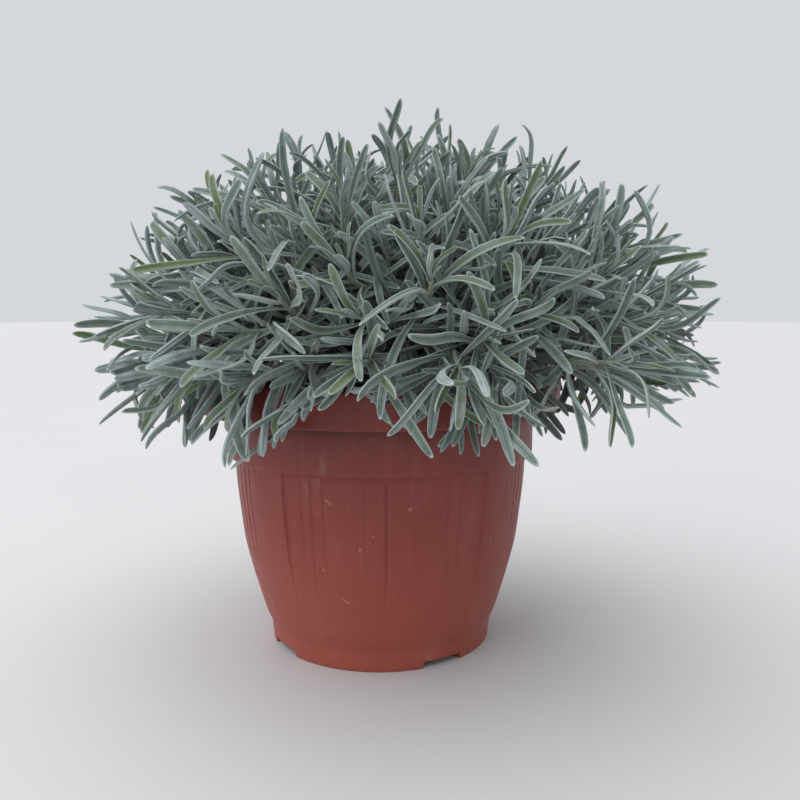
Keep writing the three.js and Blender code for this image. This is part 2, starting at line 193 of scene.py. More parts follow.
# ---------- the leaves, from the youngest pair to the oldest ----------
PAIR_SETBACK = (2, 7, 13, 20, 29, 40, 54, 71)
PAIR_LENGTH = (27, 42, 53, 59, 60, 57, 52, 46)
PAIR_ANGLE = (9, 17, 27, 38, 50, 62, 72, 80)
PAIR_ARCH = (0.1, 0.16, 0.2, 0.2, 0.16, 0.1, 0.04, 0.0)
CAD_PAIRS = (1, 3)
OTHER_PAIRS = (2, 0, 4, 5, 6, 7)
LEAF_DROOP = 0.2
LEAF_WIDTH = 5.6
LEAF_TWIST = 0.64
CAD_CURL = 0.9
FREE_CURL = 1.3
LONGER = 1.10
NARROWER = 0.98
SHOOT_TURN = 67
TURN_SPREAD = 16
LEAN_SPREAD = 0.22
ARCH_SPREAD = 0.9
LENGTH_SHARE = 0.92
LENGTH_SPREAD = 0.16
WIDTH_SHARE = (0.86, 0.2)
DROOP_SHARE = (0.6, 0.8)
YOUNGEST_WIDTH = 0.6
TIP_LEAF_SIZE = (14, 3.0)
LEAF_THICKNESS = 0.95
THICKNESS_SPREAD = 0.2
FREE_TWIST = 1.9
WARM_FROM = 0.80
YOUNG_FROM = 0.7
YOUNG_WARMTH = 0.25
BROAD_FROM = 0.7
BROADER = 0.35
TOP_TIPS = (0.6, 0.9)
TOP_SHORTER = 0.15
# The strongest shoots, by x, y and height on the dome, and how their leaves are broader and heavier.
STRONG_X = (10, -90)
STRONG_Y = (90, -10)
STRONG_HEIGHT = (0.75, 0.35)
STRONG_WIDTH = 0.28
STRONG_LENGTH = 0.06
STRONG_DROOP = 0.16
# How a leaf curls: how far its hinge rolls, how often it curls up, how much, how late, and its fold.
HINGE_ROLL = 0.9
CURLED_UP = 0.62
CURL_SHARE = (0.25, 0.75)
CURL_DELAY = (1.1, 1.3)
SWAY = 0.35
FOLD = (0.30, 0.80)

# ---------- how the leaves keep clear of the pot and hang outside it ----------
CLEAR_ABOVE = 3
CLEAR_OUTSIDE = 3.4
CLEAR_INSIDE = 6
CLEAR_OF_SOIL = 4
HANG_LOWEST = 146.0
RIGHT_RISE = 0.22
RIGHT_FROM = 70
# How much higher or lower they end along the front, where, and over what reach.
PARTING = (34, -14, 30)
LOW_HANG = (9, -74, 22)
LIFT_TRIES = 9

# ---------- room between the leaves ----------
# The turns in degrees and the shares of its lean that a leaf tries until it has room.
LEAF_TRIES = ((0, 1), (12, 1.05), (-12, 0.95), (24, 0.9), (-24, 1.12), (34, 1), (-34, 1))
LEAF_ROOM = 2.7
INNER_ROOM = 2.4
LEAST_ROOM_YOUNG = 0.5
LEAST_ROOM_OLD = 1.2
LEAST_ROOM = 1.0
ROOM_MARGIN = 0.01
LOWEST_PAIR = 0.85

# ---------- the small leaves of inner shoots and tips ----------
SMALL_TURN_SPREAD = 25
SMALL_LEAN_SPREAD = 0.25
SMALL_LENGTH_SPREAD = 0.22
SMALL_WIDTH = (0.9, 0.2)
SMALL_ARCH = 0.2
SMALL_DROOP = 0.12
SMALL_TWIST = 0.9
SMALL_CURL = 1.25
# An inner shoot: how far back it leaves its stem and how long it is, and its own leaves.
TUFTS = ((58, 32), (76, 38), (96, 40), (114, 42), (130, 38))
TUFT_SETBACK = (1, 5, 10, 16, 23)
TUFT_LENGTH = (24, 42, 54, 60, 56)
TUFT_ANGLE = (10, 22, 36, 50, 64)
TUFT_WIDTH = 4.8
TUFT_LEAN = (30, 22)
TUFT_GROWTH = (0.8, 0.35)
TUFT_UPTURN = 0.35
LOWEST_JOINT = 0.9
# The youth of each inner shoot's leaves; below zero they are darkened, partly for age and partly as
# painted shade inside the bush.
TUFT_YOUTH = (0.3, 0.0, -0.4, -0.7, -0.9)
TUFT_TRIES = (0, 0.3, -0.3, 0.6, -0.6)

# ---------- the broad old leaves that hang from the lowest shoots ----------
HANGING_SETBACK = 6
HANGING_STEP = 7
HANGING_CURL = 0.8
HANGING_LENGTH = (48, 16)
HANGING_WIDTH = (0.9, 0.2)
HANGING_LEAN = (48, 26)
HANGING_TURN = 52
HANGING_TWIST = 0.7
HANGING_COUNT = 6
STRONG_HANGING_COUNT = 4
HANGING_BEND = 0.15
STRONG_HANGING_BEND = 0.45
STRONG_HANGING_WIDTH = 0.45

# Every kind of choice draws its chances under its own number.
LIMB_DRAWS = 31
LEAF_DRAWS = 51
CURL_DRAWS = 52
SMALL_LEAF_DRAWS = 61
TUFT_DRAWS = 62
HANGING_DRAWS = 63
CRUMB_DRAWS = 71
THICKNESS_DRAWS = 81
BARK_DRAWS = 83
KNOT_DRAWS = 84
TINT_DRAWS = 91
SHOOT_TINT_DRAWS = 92
WARM_DRAWS = 93

# ---------- colours: red, green and blue, in pairs where a surface is mottled ----------
PLASTIC = ((0.182, 0.032, 0.026), (0.238, 0.046, 0.035))
# painted light: the lighter, warmer tone towards the foot stands for light bounced up from the floor
PAINTED_BOUNCE_LIGHT = (0.370, 0.086, 0.054)
SHADED_PLASTIC = (0.100, 0.016, 0.013)
# painted shadow: the dark band that the rim's overhang casts on the collar below it
PAINTED_RIM_SHADOW = (0.040, 0.008, 0.007)
WATER_STREAK = (0.330, 0.110, 0.085)
GROUND_DUST = (0.42, 0.24, 0.19)
SCUFF = (0.47, 0.27, 0.22)
PEAT = ((0.016, 0.011, 0.008), (0.065, 0.042, 0.026))
PEAT_FIBRE = (0.16, 0.12, 0.08)
BARK = ((0.050, 0.036, 0.025), (0.165, 0.130, 0.095))
BARK_FLECK = (0.26, 0.24, 0.20)
YOUNG_STEM = ((0.160, 0.200, 0.130), (0.270, 0.310, 0.230))
OLD_STEM = ((0.055, 0.044, 0.030), (0.130, 0.108, 0.078))
STEM_CORNER = (0.36, 0.40, 0.33)
LEAF_GREEN = ((0.038, 0.073, 0.040), (0.096, 0.146, 0.086))
WARM_GREEN = (0.120, 0.175, 0.050)
YOUNG_GREEN = (0.210, 0.265, 0.140)
FELT = ((0.184, 0.244, 0.232), (0.385, 0.460, 0.460))
FELT_BELOW = ((0.226, 0.288, 0.278), (0.400, 0.474, 0.474))
MIDRIB = (0.42, 0.46, 0.45)
HOLLOW_BELOW = (0.125, 0.155, 0.145)
ROLLED_EDGE = (0.505, 0.578, 0.580)
LEAF_FOOT = (0.170, 0.220, 0.105)
DRY_TIP = (0.24, 0.17, 0.09)
FELT_PIT = (0.05, 0.07, 0.05)
# partly painted shade: old and inner leaves darkened both for their age and for the shade deep in the bush
OLD_AND_SHADED_LEAF = (0.042, 0.050, 0.036)
STAGE_GREY = ((0.560, 0.553, 0.556), (0.585, 0.578, 0.582))
SKY_TINT = (0.93, 0.96, 1.0, 1)

# ---------- light and camera, in metres and degrees ----------
SKY_STRENGTH = 0.71
SKYLIGHT_POWER = 2.15
SKYLIGHT_WIDTH = 100
SOFTBOX_POWER = 6.5
SOFTBOX_SIDE = 1.2
SENSOR_WIDTH = 36.0
FOCAL_LENGTH = 37.35
CLIP_START = 0.02
CAMERA_ASIDE = 0.0132
CAMERA_DISTANCE = 0.560
CAMERA_HEIGHT = 0.227
CAMERA_TILT = 6.85

pot_low, pot_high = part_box("pot")
POT_X = (pot_low[0] + pot_high[0]) / 2
POT_Y = (pot_low[1] + pot_high[1]) / 2


def rad(degrees):
    return degrees * math.pi / 180


def chance(a, b, c):
    """A repeatable number from 0 to 1 for three whole-number keys."""
    m = 0xFFFFFFFF
    h = ((a + 11) * 374761393 & m) ^ ((b + 7) * 668265263 & m)
    h ^= (c + 3) * 2246822519 & m
    h = (h ^ (h >> 15)) * 2246822519 & m
    h = (h ^ (h >> 13)) * 3266489917 & m
    return (h ^ (h >> 16)) / 4294967296


def spread(a, b, c):
    """A repeatable number from -1 to 1."""
    return 2 * chance(a, b, c) - 1


def within(span, a, b, c):
    """A repeatable number in a range that is given as its least value and its width."""
    return span[0] + span[1] * chance(a, b, c)


def smooth(low, high, x):
    """From 0 to 1 as x goes from low to high, with soft ends."""
    t = np.clip((np.asarray(x, float) - low) / (high - low), 0, 1)
    return t * t * (3 - 2 * t)


def unit(v):
    return v / np.linalg.norm(v)


# ---------- shader building ----------
def add(tree, kind, **sockets):
    """A node of this kind with its named sockets and settings filled in or linked."""
    node = tree.nodes.new("ShaderNode" + kind)
    settings = sockets.pop("settings", {})
    for name, value in settings.items():
        setattr(node, name, value)
    for name, value in sockets.items():
        key = int(name[1:]) if name[0] == "i" and name[1:].isdigit() else name.replace("_", " ")
        socket = node.inputs[key]
        if isinstance(value, bpy.types.NodeSocket):
            tree.links.new(value, socket)
        else:
            socket.default_value = value
    return node


def times(tree, a, b, operation="MULTIPLY", clamp=False):
    """Two values multiplied, or joined by another operation."""
    settings = {"operation": operation, "use_clamp": clamp}
    return add(tree, "Math", i0=a, i1=b, settings=settings).outputs[0]


def band(tree, value, low, high, to_low=0.0, to_high=1.0):
    """The value taken smoothly from one range to another."""
    node = add(tree, "MapRange", i0=value, i1=low, i2=high, i3=to_low, i4=to_high,
               settings={"interpolation_type": "SMOOTHSTEP"})
    return node.outputs[0]


def stretch(tree, place, by):
    """A place scaled along its axes, so that a pattern runs longer one way."""
    return add(tree, "VectorMath", i0=place, i1=by, settings={"operation": "MULTIPLY"}).outputs[0]


def blend(tree, share, first, second):
    """The first colour with a share of the second laid over it."""
    node = tree.nodes.new("ShaderNodeMix")
    node.data_type = "RGBA"
    for socket, value in ((node.inputs[0], share), (node.inputs[6], first), (node.inputs[7], second)):
        if isinstance(value, bpy.types.NodeSocket):
            tree.links.new(value, socket)
        else:
            socket.default_value = value if isinstance(value, float) else (*value, 1.0)
    return node.outputs[2]


def group(name, takes, gives):
    """A shader node group with these inputs and outputs, its inputs' sockets and its end node."""
    tree = bpy.data.node_groups.new(name, "ShaderNodeTree")
    for label, kind, value in takes:
        tree.interface.new_socket(label, in_out="INPUT", socket_type=kind).default_value = value
    for label in gives:
        tree.interface.new_socket(label, in_out="OUTPUT", socket_type="NodeSocketFloat")
    start = tree.nodes.new("NodeGroupInput")
    end = tree.nodes.new("NodeGroupOutput")
    return tree, start.outputs, end


def make_grain():
    """Fine and broad mottling that every surface of the object takes in its own amounts."""
    tree, take, give = group(
        "surface_grain",
        [("Fine Scale", "NodeSocketFloat", 900.0), ("Broad Scale", "NodeSocketFloat", 40.0),
         ("Stretch", "NodeSocketVector", (1.0, 1.0, 1.0))],
        ["Fine", "Broad"])
    place = stretch(tree, add(tree, "TexCoord").outputs["Object"], take["Stretch"])
    fine = add(tree, "TexNoise", Vector=place, Scale=take["Fine Scale"], Detail=3.0, Roughness=0.6)
    broad = add(tree, "TexNoise", Vector=place, Scale=take["Broad Scale"], Detail=4.0, Roughness=0.55)
    tree.links.new(fine.outputs[0], give.inputs["Fine"])
    tree.links.new(broad.outputs[0], give.inputs["Broad"])
    return tree


def make_scuffs():
    """Small pale rubs, specks and splashes, as handling and watering leave them."""
    tree, take, give = group(
        "scuffs_and_specks",
        [("Speck Scale", "NodeSocketFloat", 160.0), ("Amount", "NodeSocketFloat", 0.5)],
        ["Mask"])
    place = add(tree, "TexCoord").outputs["Object"]
    flecks = add(tree, "TexNoise", Vector=place, Scale=take["Speck Scale"], Detail=2.0, Roughness=0.5)
    specks = band(tree, flecks.outputs[0], 0.70, 0.76)
    upright = stretch(tree, place, (1.0, 1.0, 0.35))
    rubs = add(tree, "TexNoise", Vector=upright, Scale=55.0, Detail=6.0, Roughness=0.68)
    rubbed = times(tree, band(tree, rubs.outputs[0], 0.63, 0.76), 0.7)
    both = times(tree, specks, rubbed, "MAXIMUM")
    tree.links.new(times(tree, both, take["Amount"]), give.inputs["Mask"])
    return tree


GRAIN = make_grain()
SCUFFS = make_scuffs()


def use(tree, made, **sockets):
    """A group placed in a material with its own values."""
    node = tree.nodes.new("ShaderNodeGroup")
    node.node_tree = made
    for name, value in sockets.items():
        node.inputs[name.replace("_", " ")].default_value = value
    return node.outputs


def new_material(name):
    """A material, its node tree and the inputs of its surface shader."""
    material = bpy.data.materials.new(name)
    material.use_nodes = True
    tree = material.node_tree
    tree.nodes.clear()
    shader = tree.nodes.new("ShaderNodeBsdfPrincipled")
    end = tree.nodes.new("ShaderNodeOutputMaterial")
    tree.links.new(shader.outputs[0], end.inputs[0])
    return material, tree, shader.inputs


def finish_surface(tree, surface, colour, rough, height, strength, distance):
    """Links the colour, the roughness and the small relief to the shader."""
    bump = add(tree, "Bump", Strength=strength, Distance=distance, Height=height)
    tree.links.new(colour, surface["Base Color"])
    tree.links.new(rough, surface["Roughness"])
    tree.links.new(bump.outputs[0], surface["Normal"])


def part_of(tree, attribute):
    """The three values that a piece's vertices carry under this name."""
    node = tree.nodes.new("ShaderNodeAttribute")
    node.attribute_name = attribute
    return add(tree, "SeparateColor", i0=node.outputs["Color"]).outputs


# ---------- materials ----------
def terracotta_plastic():
    """Matt red-brown plastic, streaked and scuffed, with painted light: lighter and warmer towards the
    foot as painted bounce light from the floor, painted shade at the collar and a painted shadow under the
    rim.
    """
    material, tree, surface = new_material("terracotta_plastic")
    grain = use(tree, GRAIN, Fine_Scale=1400.0, Broad_Scale=26.0)
    streaks = use(tree, GRAIN, Fine_Scale=420.0, Broad_Scale=70.0, Stretch=(1.0, 1.0, 0.08))
    scuffs = use(tree, SCUFFS, Speck_Scale=210.0, Amount=0.32)
    place = add(tree, "TexCoord").outputs["Object"]
    tall = add(tree, "SeparateXYZ", i0=place).outputs[2]
    # painted light: lighter and warmer towards the foot, standing for light bounced up from the floor
    low = band(tree, tall, 0.0, 0.125, 1.0, 0.0)
    colour = blend(tree, grain["Broad"], *PLASTIC)
    colour = blend(tree, times(tree, low, 0.6), colour, PAINTED_BOUNCE_LIGHT)
    colour = blend(tree, band(tree, tall, 0.115, 0.150, 0.0, 0.36), colour, SHADED_PLASTIC)
    # painted shadow: a dark band just under the rim's overhang, where its shadow falls on the collar
    rim_shadow_mask = band(tree, tall, 0.1450, 0.1555, 0.0, 0.60)
    rim_shadow_mask = times(tree, rim_shadow_mask, band(tree, tall, 0.1562, 0.1568, 1.0, 0.0))
    colour = blend(tree, rim_shadow_mask, colour, PAINTED_RIM_SHADOW)
    colour = blend(tree, band(tree, streaks["Broad"], 0.5, 0.8, 0.0, 0.22), colour, WATER_STREAK)
    dust = times(tree, band(tree, grain["Broad"], 0.5, 0.8), band(tree, tall, 0.0, 0.05, 0.3, 0.03))
    colour = blend(tree, dust, colour, GROUND_DUST)
    colour = blend(tree, scuffs["Mask"], colour, SCUFF)
    rough = band(tree, streaks["Fine"], 0.3, 0.7, 0.42, 0.56)
    rough = times(tree, rough, times(tree, scuffs["Mask"], 0.25), "ADD")
    surface["Specular IOR Level"].default_value = 0.35
    height = times(tree, grain["Fine"], times(tree, streaks["Fine"], 0.8), "ADD")
    finish_surface(tree, surface, colour, rough, height, 0.22, 0.0004)
    return material


def peat():
    material, tree, surface = new_material("moist_peat")
    grain = use(tree, GRAIN, Fine_Scale=700.0, Broad_Scale=110.0)
    fibres = use(tree, SCUFFS, Speck_Scale=260.0, Amount=0.8)
    colour = blend(tree, grain["Broad"], *PEAT)
    colour = blend(tree, fibres["Mask"], colour, PEAT_FIBRE)
    rough = band(tree, grain["Fine"], 0.3, 0.7, 0.75, 1.0)
    finish_surface(tree, surface, colour, rough, grain["Fine"], 0.8, 0.0012)
    return material


def bark():
    material, tree, surface = new_material("grey_bark")
    grain = use(tree, GRAIN, Fine_Scale=800.0, Broad_Scale=160.0, Stretch=(1.0, 1.0, 0.35))
    flecks = use(tree, SCUFFS, Speck_Scale=420.0, Amount=0.6)
    colour = blend(tree, grain["Broad"], *BARK)
    colour = blend(tree, flecks["Mask"], colour, BARK_FLECK)
    rough = band(tree, grain["Fine"], 0.3, 0.7, 0.7, 0.95)
    finish_surface(tree, surface, colour, rough, grain["Fine"], 0.9, 0.0008)
    return material


def green_stem():
    """Brown and woody at its start, green and felted towards its end, paler on its corners."""
    material, tree, surface = new_material("felted_stem")
    place = part_of(tree, "stem_place")
    along, corner = place[0], place[1]
    grain = use(tree, GRAIN, Fine_Scale=1100.0, Broad_Scale=140.0)
    young = blend(tree, grain["Broad"], *YOUNG_STEM)
    old = blend(tree, grain["Broad"], *OLD_STEM)
    colour = blend(tree, band(tree, along, 0.3, 0.75), old, young)
    colour = blend(tree, times(tree, corner, 0.35), colour, STEM_CORNER)
    rough = band(tree, grain["Fine"], 0.3, 0.7, 0.7, 0.9)
    surface["Sheen Weight"].default_value = 0.25
    finish_surface(tree, surface, colour, rough, grain["Fine"], 0.4, 0.0004)
    return material


def felted_leaf():
    """A narrow leaf: green under a grey felt that is thickest below and on the rolled edges."""
    material, tree, surface = new_material("felted_leaf")
    along, edge, below = part_of(tree, "leaf_place")
    tint, youth, warm = part_of(tree, "leaf_kind")
    grain = use(tree, GRAIN, Fine_Scale=1500.0, Broad_Scale=120.0)
    fine, broad = grain["Fine"], grain["Broad"]
    green = blend(tree, tint, *LEAF_GREEN)
    green = blend(tree, times(tree, warm, 0.85), green, WARM_GREEN)
    green = blend(tree, times(tree, youth, 0.45, clamp=True), green, YOUNG_GREEN)
    cover = band(tree, broad, 0.30, 0.70, 0.30, 0.80)
    cover = times(tree, cover, times(tree, warm, 0.85), "SUBTRACT", clamp=True)
    top = blend(tree, cover, green, blend(tree, tint, *FELT))
    top = blend(tree, band(tree, edge, 0.0, 0.30, 0.6, 0.0), top, green)
    under = blend(tree, band(tree, broad, 0.3, 0.7), *FELT_BELOW)
    under = blend(tree, band(tree, edge, 0.0, 0.2, 0.4, 0.0), under, MIDRIB)
    hollow = times(tree, band(tree, edge, 0.2, 0.5), band(tree, edge, 0.5, 0.72, 1.0, 0.0))
    under = blend(tree, times(tree, hollow, 0.45), under, HOLLOW_BELOW)
    colour = blend(tree, below, top, under)
    rolled = times(tree, band(tree, edge, 0.66, 0.94), 0.62)
    rolled = times(tree, rolled, times(tree, band(tree, along, 0.955, 0.99), 0.7), "MAXIMUM")
    colour = blend(tree, rolled, colour, ROLLED_EDGE)
    colour = blend(tree, band(tree, along, 0.0, 0.22, 0.5, 0.0), colour, LEAF_FOOT)
    tip = times(tree, band(tree, along, 0.975, 1.0), times(tree, warm, 0.8))
    colour = blend(tree, tip, colour, DRY_TIP)
    colour = blend(tree, band(tree, fine, 0.25, 0.75, 0.0, 0.2), colour, FELT_PIT)
    # older and inner leaves darkened, partly for their age and partly as painted shade deep inside the
    # bush
    colour = blend(tree, band(tree, youth, -0.8, 0.0, 0.92, 0.0), colour, OLD_AND_SHADED_LEAF)
    rough = band(tree, fine, 0.3, 0.7, 0.62, 0.85)
    surface["Sheen Weight"].default_value = 0.35
    surface["Sheen Roughness"].default_value = 0.5
    surface["Specular IOR Level"].default_value = 0.3
    height = times(tree, fine, times(tree, broad, 0.6), "ADD")
    finish_surface(tree, surface, colour, rough, height, 0.35, 0.0003)
    return material


def pale_floor():
    material, tree, surface = new_material("pale_floor")
    place = add(tree, "TexCoord").outputs["Object"]
    soft = add(tree, "TexNoise", Vector=place, Scale=3.0, Detail=2.0).outputs[0]
    tree.links.new(blend(tree, soft, *STAGE_GREY), surface["Base Color"])
    surface["Roughness"].default_value = 0.6
    return material


# ---------- meshes ----------
def add_object(name, vertices, faces, materials, slots=None, millimetres=True):
    """A smooth-shaded object from points in millimetres around the pot's axis, or in metres."""
    points = np.asarray(vertices, float)
    if millimetres:
        points = points / 1000 + np.array([POT_X, POT_Y, 0.0])
    mesh = bpy.data.meshes.new(name)
    mesh.from_pydata(points.tolist(), [], faces)
    mesh.update()
    for material in materials:
        mesh.materials.append(material)
    mesh.polygons.foreach_set("use_smooth", [True] * len(mesh.polygons))
    if slots is not None:
        mesh.polygons.foreach_set("material_index", slots)
    piece = bpy.data.objects.new(name, mesh)
    bpy.context.scene.collection.objects.link(piece)
    return piece


def carry(piece, name, values):
    """Gives each vertex three values that its material reads."""
    layer = piece.data.attributes.new(name, "FLOAT_COLOR", "POINT")
    flat = np.ones((len(values), 4), np.float32)
    flat[:, :3] = values
    layer.data.foreach_set("color", flat.ravel())


def moved(faces, first):
    """The same faces for vertices that start at this number."""
    return [tuple(first + v for v in face) for face in faces]


def round_faces(rows, columns):
    """Quads of a grid that closes around its columns."""
    faces = []
    for i in range(rows - 1):
        below, above = i * columns, (i + 1) * columns
        for j in range(columns):
            k = (j + 1) % columns
            faces.append((below + j, below + k, above + k, above + j))
    return faces


def tube_faces(rows, columns):
    """The faces of a closed tube: quads around it and a flat cap at each end."""
    faces = round_faces(rows, columns)
    faces.append(tuple(range(columns))[::-1])
    faces.append(tuple((rows - 1) * columns + j for j in range(columns)))
    return faces


def frames_along(way, guess):
    """Two directions across each place of a line, carried along it without twisting."""
    side = np.zeros_like(way)
    side[0] = unit(np.cross(way[0], guess))
    for i in range(1, len(way)):
        side[i] = unit(side[i - 1] - way[i] * side[i - 1].dot(way[i]))
    return side, np.cross(way, side)


def curve_through(points, step):
    """A smooth line through points, sampled about every step."""
    p = np.asarray(points, float)
    ends = np.vstack([2 * p[0] - p[1], p, 2 * p[-1] - p[-2]])
    found = []
    for i in range(len(p) - 1):
        a, b, c, d = ends[i:i + 4]
        count = max(1, int(round(np.linalg.norm(c - b) / step)))
        for t in np.arange(count) / count:
            found.append(0.5 * (2 * b + (c - a) * t + (2 * a - 5 * b + 4 * c - d) * t ** 2
                                + (3 * b - a - 3 * c + d) * t ** 3))
    return found + [p[-1]]


# ---------- pot ----------
def quarter_angles():
    """Degrees across one panel, closer together where its lines and edges are."""
    angles = list(np.arange(-45, 45, COLUMN_STEP))
    for line in [MIDDLE_HALF, PANEL_HALF] + [line[0] for line in PANEL_LINES]:
        for side in {line, -line}:
            angles += [side + d for d in BY_A_LINE]
    for side in (-1, 1):
        at = NOTCH_CENTRE - PANEL_CENTRE + side * NOTCH_HALF_ANGLE
        angles += [at + d for d in BY_A_NOTCH]
    angles = sorted((a + 45) % 90 - 45 for a in angles)
    kept = [angles[0]]
    for a in angles[1:]:
        if a - kept[-1] > LEAST_STEP:
            kept.append(a)
    return np.array(kept)


def panel_depth(local, z):
    """How deep a side panel and its upright lines lie at these degrees from its middle."""
    away = np.abs(local)
    fade = smooth(*PANEL_FADE, z)
    depth = PANEL_DEPTH * fade * smooth(PANEL_HALF + EDGE_BLUR, PANEL_HALF - EDGE_BLUR, away)
    depth += MIDDLE_DEPTH * fade * smooth(MIDDLE_HALF + MIDDLE_BLUR, MIDDLE_HALF - MIDDLE_BLUR, away)
    for line, deep, start in PANEL_LINES:
        depth += deep * smooth(*LINE_BLUR, np.abs(away - line)) * smooth(start, start + LINE_RISE, z)
    return depth * smooth(*PANEL_END, z)


def make_pot():
    """The moulding, turned from its section, with its panels, foot notches and drain holes."""
    wall = curve_through(WALL, WALL_STEP)
    inside = curve_through(INSIDE, INSIDE_STEP)
    section = UNDERSIDE + FOOT + wall + COLLAR + SKIRT + RIM + inside + FLOOR
    first_panelled = len(UNDERSIDE + FOOT)
    panelled = range(first_panelled, first_panelled + len(wall + COLLAR))
    quarter = quarter_angles()
    local = np.tile(quarter, 4)
    turn = np.concatenate([quarter + PANEL_CENTRE + 90 * q for q in range(4)])
    notch_off = np.abs((turn - NOTCH_CENTRE + 45) % 90 - 45)
    raised = NOTCH_HEIGHT * (notch_off < NOTCH_HALF_ANGLE)
    angle = np.radians(turn - 90)
    columns = len(turn)
    points = []
    for i, (r, z) in enumerate(section):
        radius = np.full(columns, float(r))
        height = np.full(columns, float(z))
        if i in panelled:
            radius -= panel_depth(local, z)
        if z < NOTCH_HEIGHT and r > RECESS_EDGE:
            height = np.maximum(height, raised)
        points.append(np.stack([radius * np.cos(angle), radius * np.sin(angle), height], 1))
    points.append(np.array([[0, 0, FLOOR_UNDERSIDE], [0, 0, FLOOR_TOP]]))
    faces = round_faces(len(section), columns)
    under_middle = len(section) * columns
    last = under_middle - columns
    for j in range(columns):
        k = (j + 1) % columns
        faces.append((under_middle, k, j))
        faces.append((under_middle + 1, last + j, last + k))
    pot = add_object("pot_moulding", np.vstack(points), faces, [terracotta_plastic()])
    drill_drains(pot)
    pot.data.polygons.foreach_set("use_smooth", [True] * len(pot.data.polygons))
    pot.data.set_sharp_from_angle(angle=rad(CREASE_ANGLE))
    return pot


def drill_drains(pot):
    """Cuts the round drain holes through the pot's floor."""
    points, faces = [], []
    for k in range(4):
        turn = rad(PANEL_CENTRE + 45 + 90 * k)
        x, y = DRAIN_CIRCLE * math.cos(turn), DRAIN_CIRCLE * math.sin(turn)
        faces += moved(tube_faces(2, DRAIN_SIDES), len(points))
        for z in DRAIN_CUT:
            for j in range(DRAIN_SIDES):
                a = 2 * math.pi * j / DRAIN_SIDES
                points.append((x + DRAIN_RADIUS * math.cos(a), y + DRAIN_RADIUS * math.sin(a), z))
    cutter = add_object("drain_cutter", points, faces, [])
    cut = pot.modifiers.new("drains", "BOOLEAN")
    cut.operation = "DIFFERENCE"
    cut.solver = "EXACT"
    cut.object = cutter
    found = pot.evaluated_get(bpy.context.evaluated_depsgraph_get())
    mesh = bpy.data.meshes.new_from_object(found)
    pot.modifiers.remove(cut)
    pot.data = mesh
    bpy.data.objects.remove(cutter)


# ---------- soil ----------
def lumps(x, y, seed):
    """Smooth uneven ground from a few crossed waves."""
    height = np.zeros_like(x)
    for k in range(LUMP_WAVES):
        size = 0.05 + 0.55 * chance(k, 1, seed) ** 1.5
        turn = 2 * math.pi * chance(k, 2, seed)
        start = 2 * math.pi * chance(k, 3, seed)
        wave = np.sin(size * (x * math.cos(turn) + y * math.sin(turn)) + start)
        height += wave * (0.11 / (0.12 + size))
    return height


def make_soil():
    """The root ball, with lumps on its surface, a low mound at the trunk and loose crumbs."""
    angle = np.arange(SOIL_COLUMNS) * 2 * math.pi / SOIL_COLUMNS
    surface = [(r, SOIL_TOP) for r in np.arange(SOIL_EDGE, HOLE_EDGE, -SOIL_RING_STEP)]
    rings = SOIL_SIDE + surface + TRUNK_HOLE
    points = []
    for r, z in rings:
        x, y = r * np.cos(angle), r * np.sin(angle)
        height = np.full(SOIL_COLUMNS, float(z))
        if z >= SOIL_TOP and r > HOLE_EDGE:
            fine = FINE_LUMP_HEIGHT * lumps(4 * x, 4 * y, FINE_LUMPS)
            mound = MOUND_HEIGHT * math.exp(-(r / MOUND_REACH) ** 2)
            height += LUMP_HEIGHT * lumps(x, y, COARSE_LUMPS) + fine + mound
        points.append(np.stack([x, y, height], 1))
    points = np.vstack(points)
    crumbs, crumb_faces = make_crumbs(len(points))
    faces = tube_faces(len(rings), SOIL_COLUMNS) + crumb_faces
    return add_object("soil_surface", np.vstack([points, crumbs]), faces, [peat()])


def make_crumbs(first):
    """Crumbs of peat and bark chips lying on the soil."""
    points, faces = [], []
    for k in range(CRUMB_COUNT):
        r = CRUMB_REACH * math.sqrt(0.02 + 0.96 * chance(k, 0, CRUMB_DRAWS))
        turn = 2 * math.pi * chance(k, 1, CRUMB_DRAWS)
        size = 0.9 + 2.6 * chance(k, 2, CRUMB_DRAWS) ** 3
        flat = within(CRUMB_FLATNESS, k, 3, CRUMB_DRAWS)
        long = 1 + 1.6 * chance(k, 4, CRUMB_DRAWS) ** 2
        spin = 2 * math.pi * chance(k, 5, CRUMB_DRAWS)
        x, y = r * math.cos(turn), r * math.sin(turn)
        ground = LUMP_HEIGHT * float(lumps(np.array([x]), np.array([y]), COARSE_LUMPS)[0])
        z = SOIL_TOP + ground + 0.3 * size
        base = first + len(points)
        for row, lift in enumerate((-0.55, 0.55)):
            for j in range(CRUMB_SIDES):
                a = 2 * math.pi * j / CRUMB_SIDES
                w = size * within(CRUMB_CORNER, k * 16 + row * CRUMB_SIDES + j, 6, CRUMB_DRAWS)
                px, py = w * long * math.cos(a), w * math.sin(a)
                points.append((x + px * math.cos(spin) - py * math.sin(spin),
                               y + px * math.sin(spin) + py * math.cos(spin), z + lift * flat * size))
        points += [(x, y, z + flat * size), (x, y, z - flat * size)]
        upper, top, bottom = base + CRUMB_SIDES, base + 2 * CRUMB_SIDES, base + 2 * CRUMB_SIDES + 1
        for j in range(CRUMB_SIDES):
            n = (j + 1) % CRUMB_SIDES
            faces.append((base + j, base + n, upper + n, upper + j))
            faces.append((upper + j, upper + n, top))
            faces.append((base + n, base + j, bottom))
    return np.array(points), faces


# ---------- where the shoots go, by the CAD's rule ----------
def limb_end(limb):
    """The middle of the knot at a limb's end."""
    turn = rad(limb * GOLDEN_ANGLE - LIMB_LAG)
    reach = LIMB_REACH + LIMB_REACH_SPREAD * spread(limb, 0, LIMB_DRAWS)
    rise = LIMB_RISE + LIMB_RISE_SPREAD * spread(limb, 1, LIMB_DRAWS)
    return np.array([reach * math.cos(turn), reach * math.sin(turn), TRUNK_TOP - LIMB_DROP + rise])


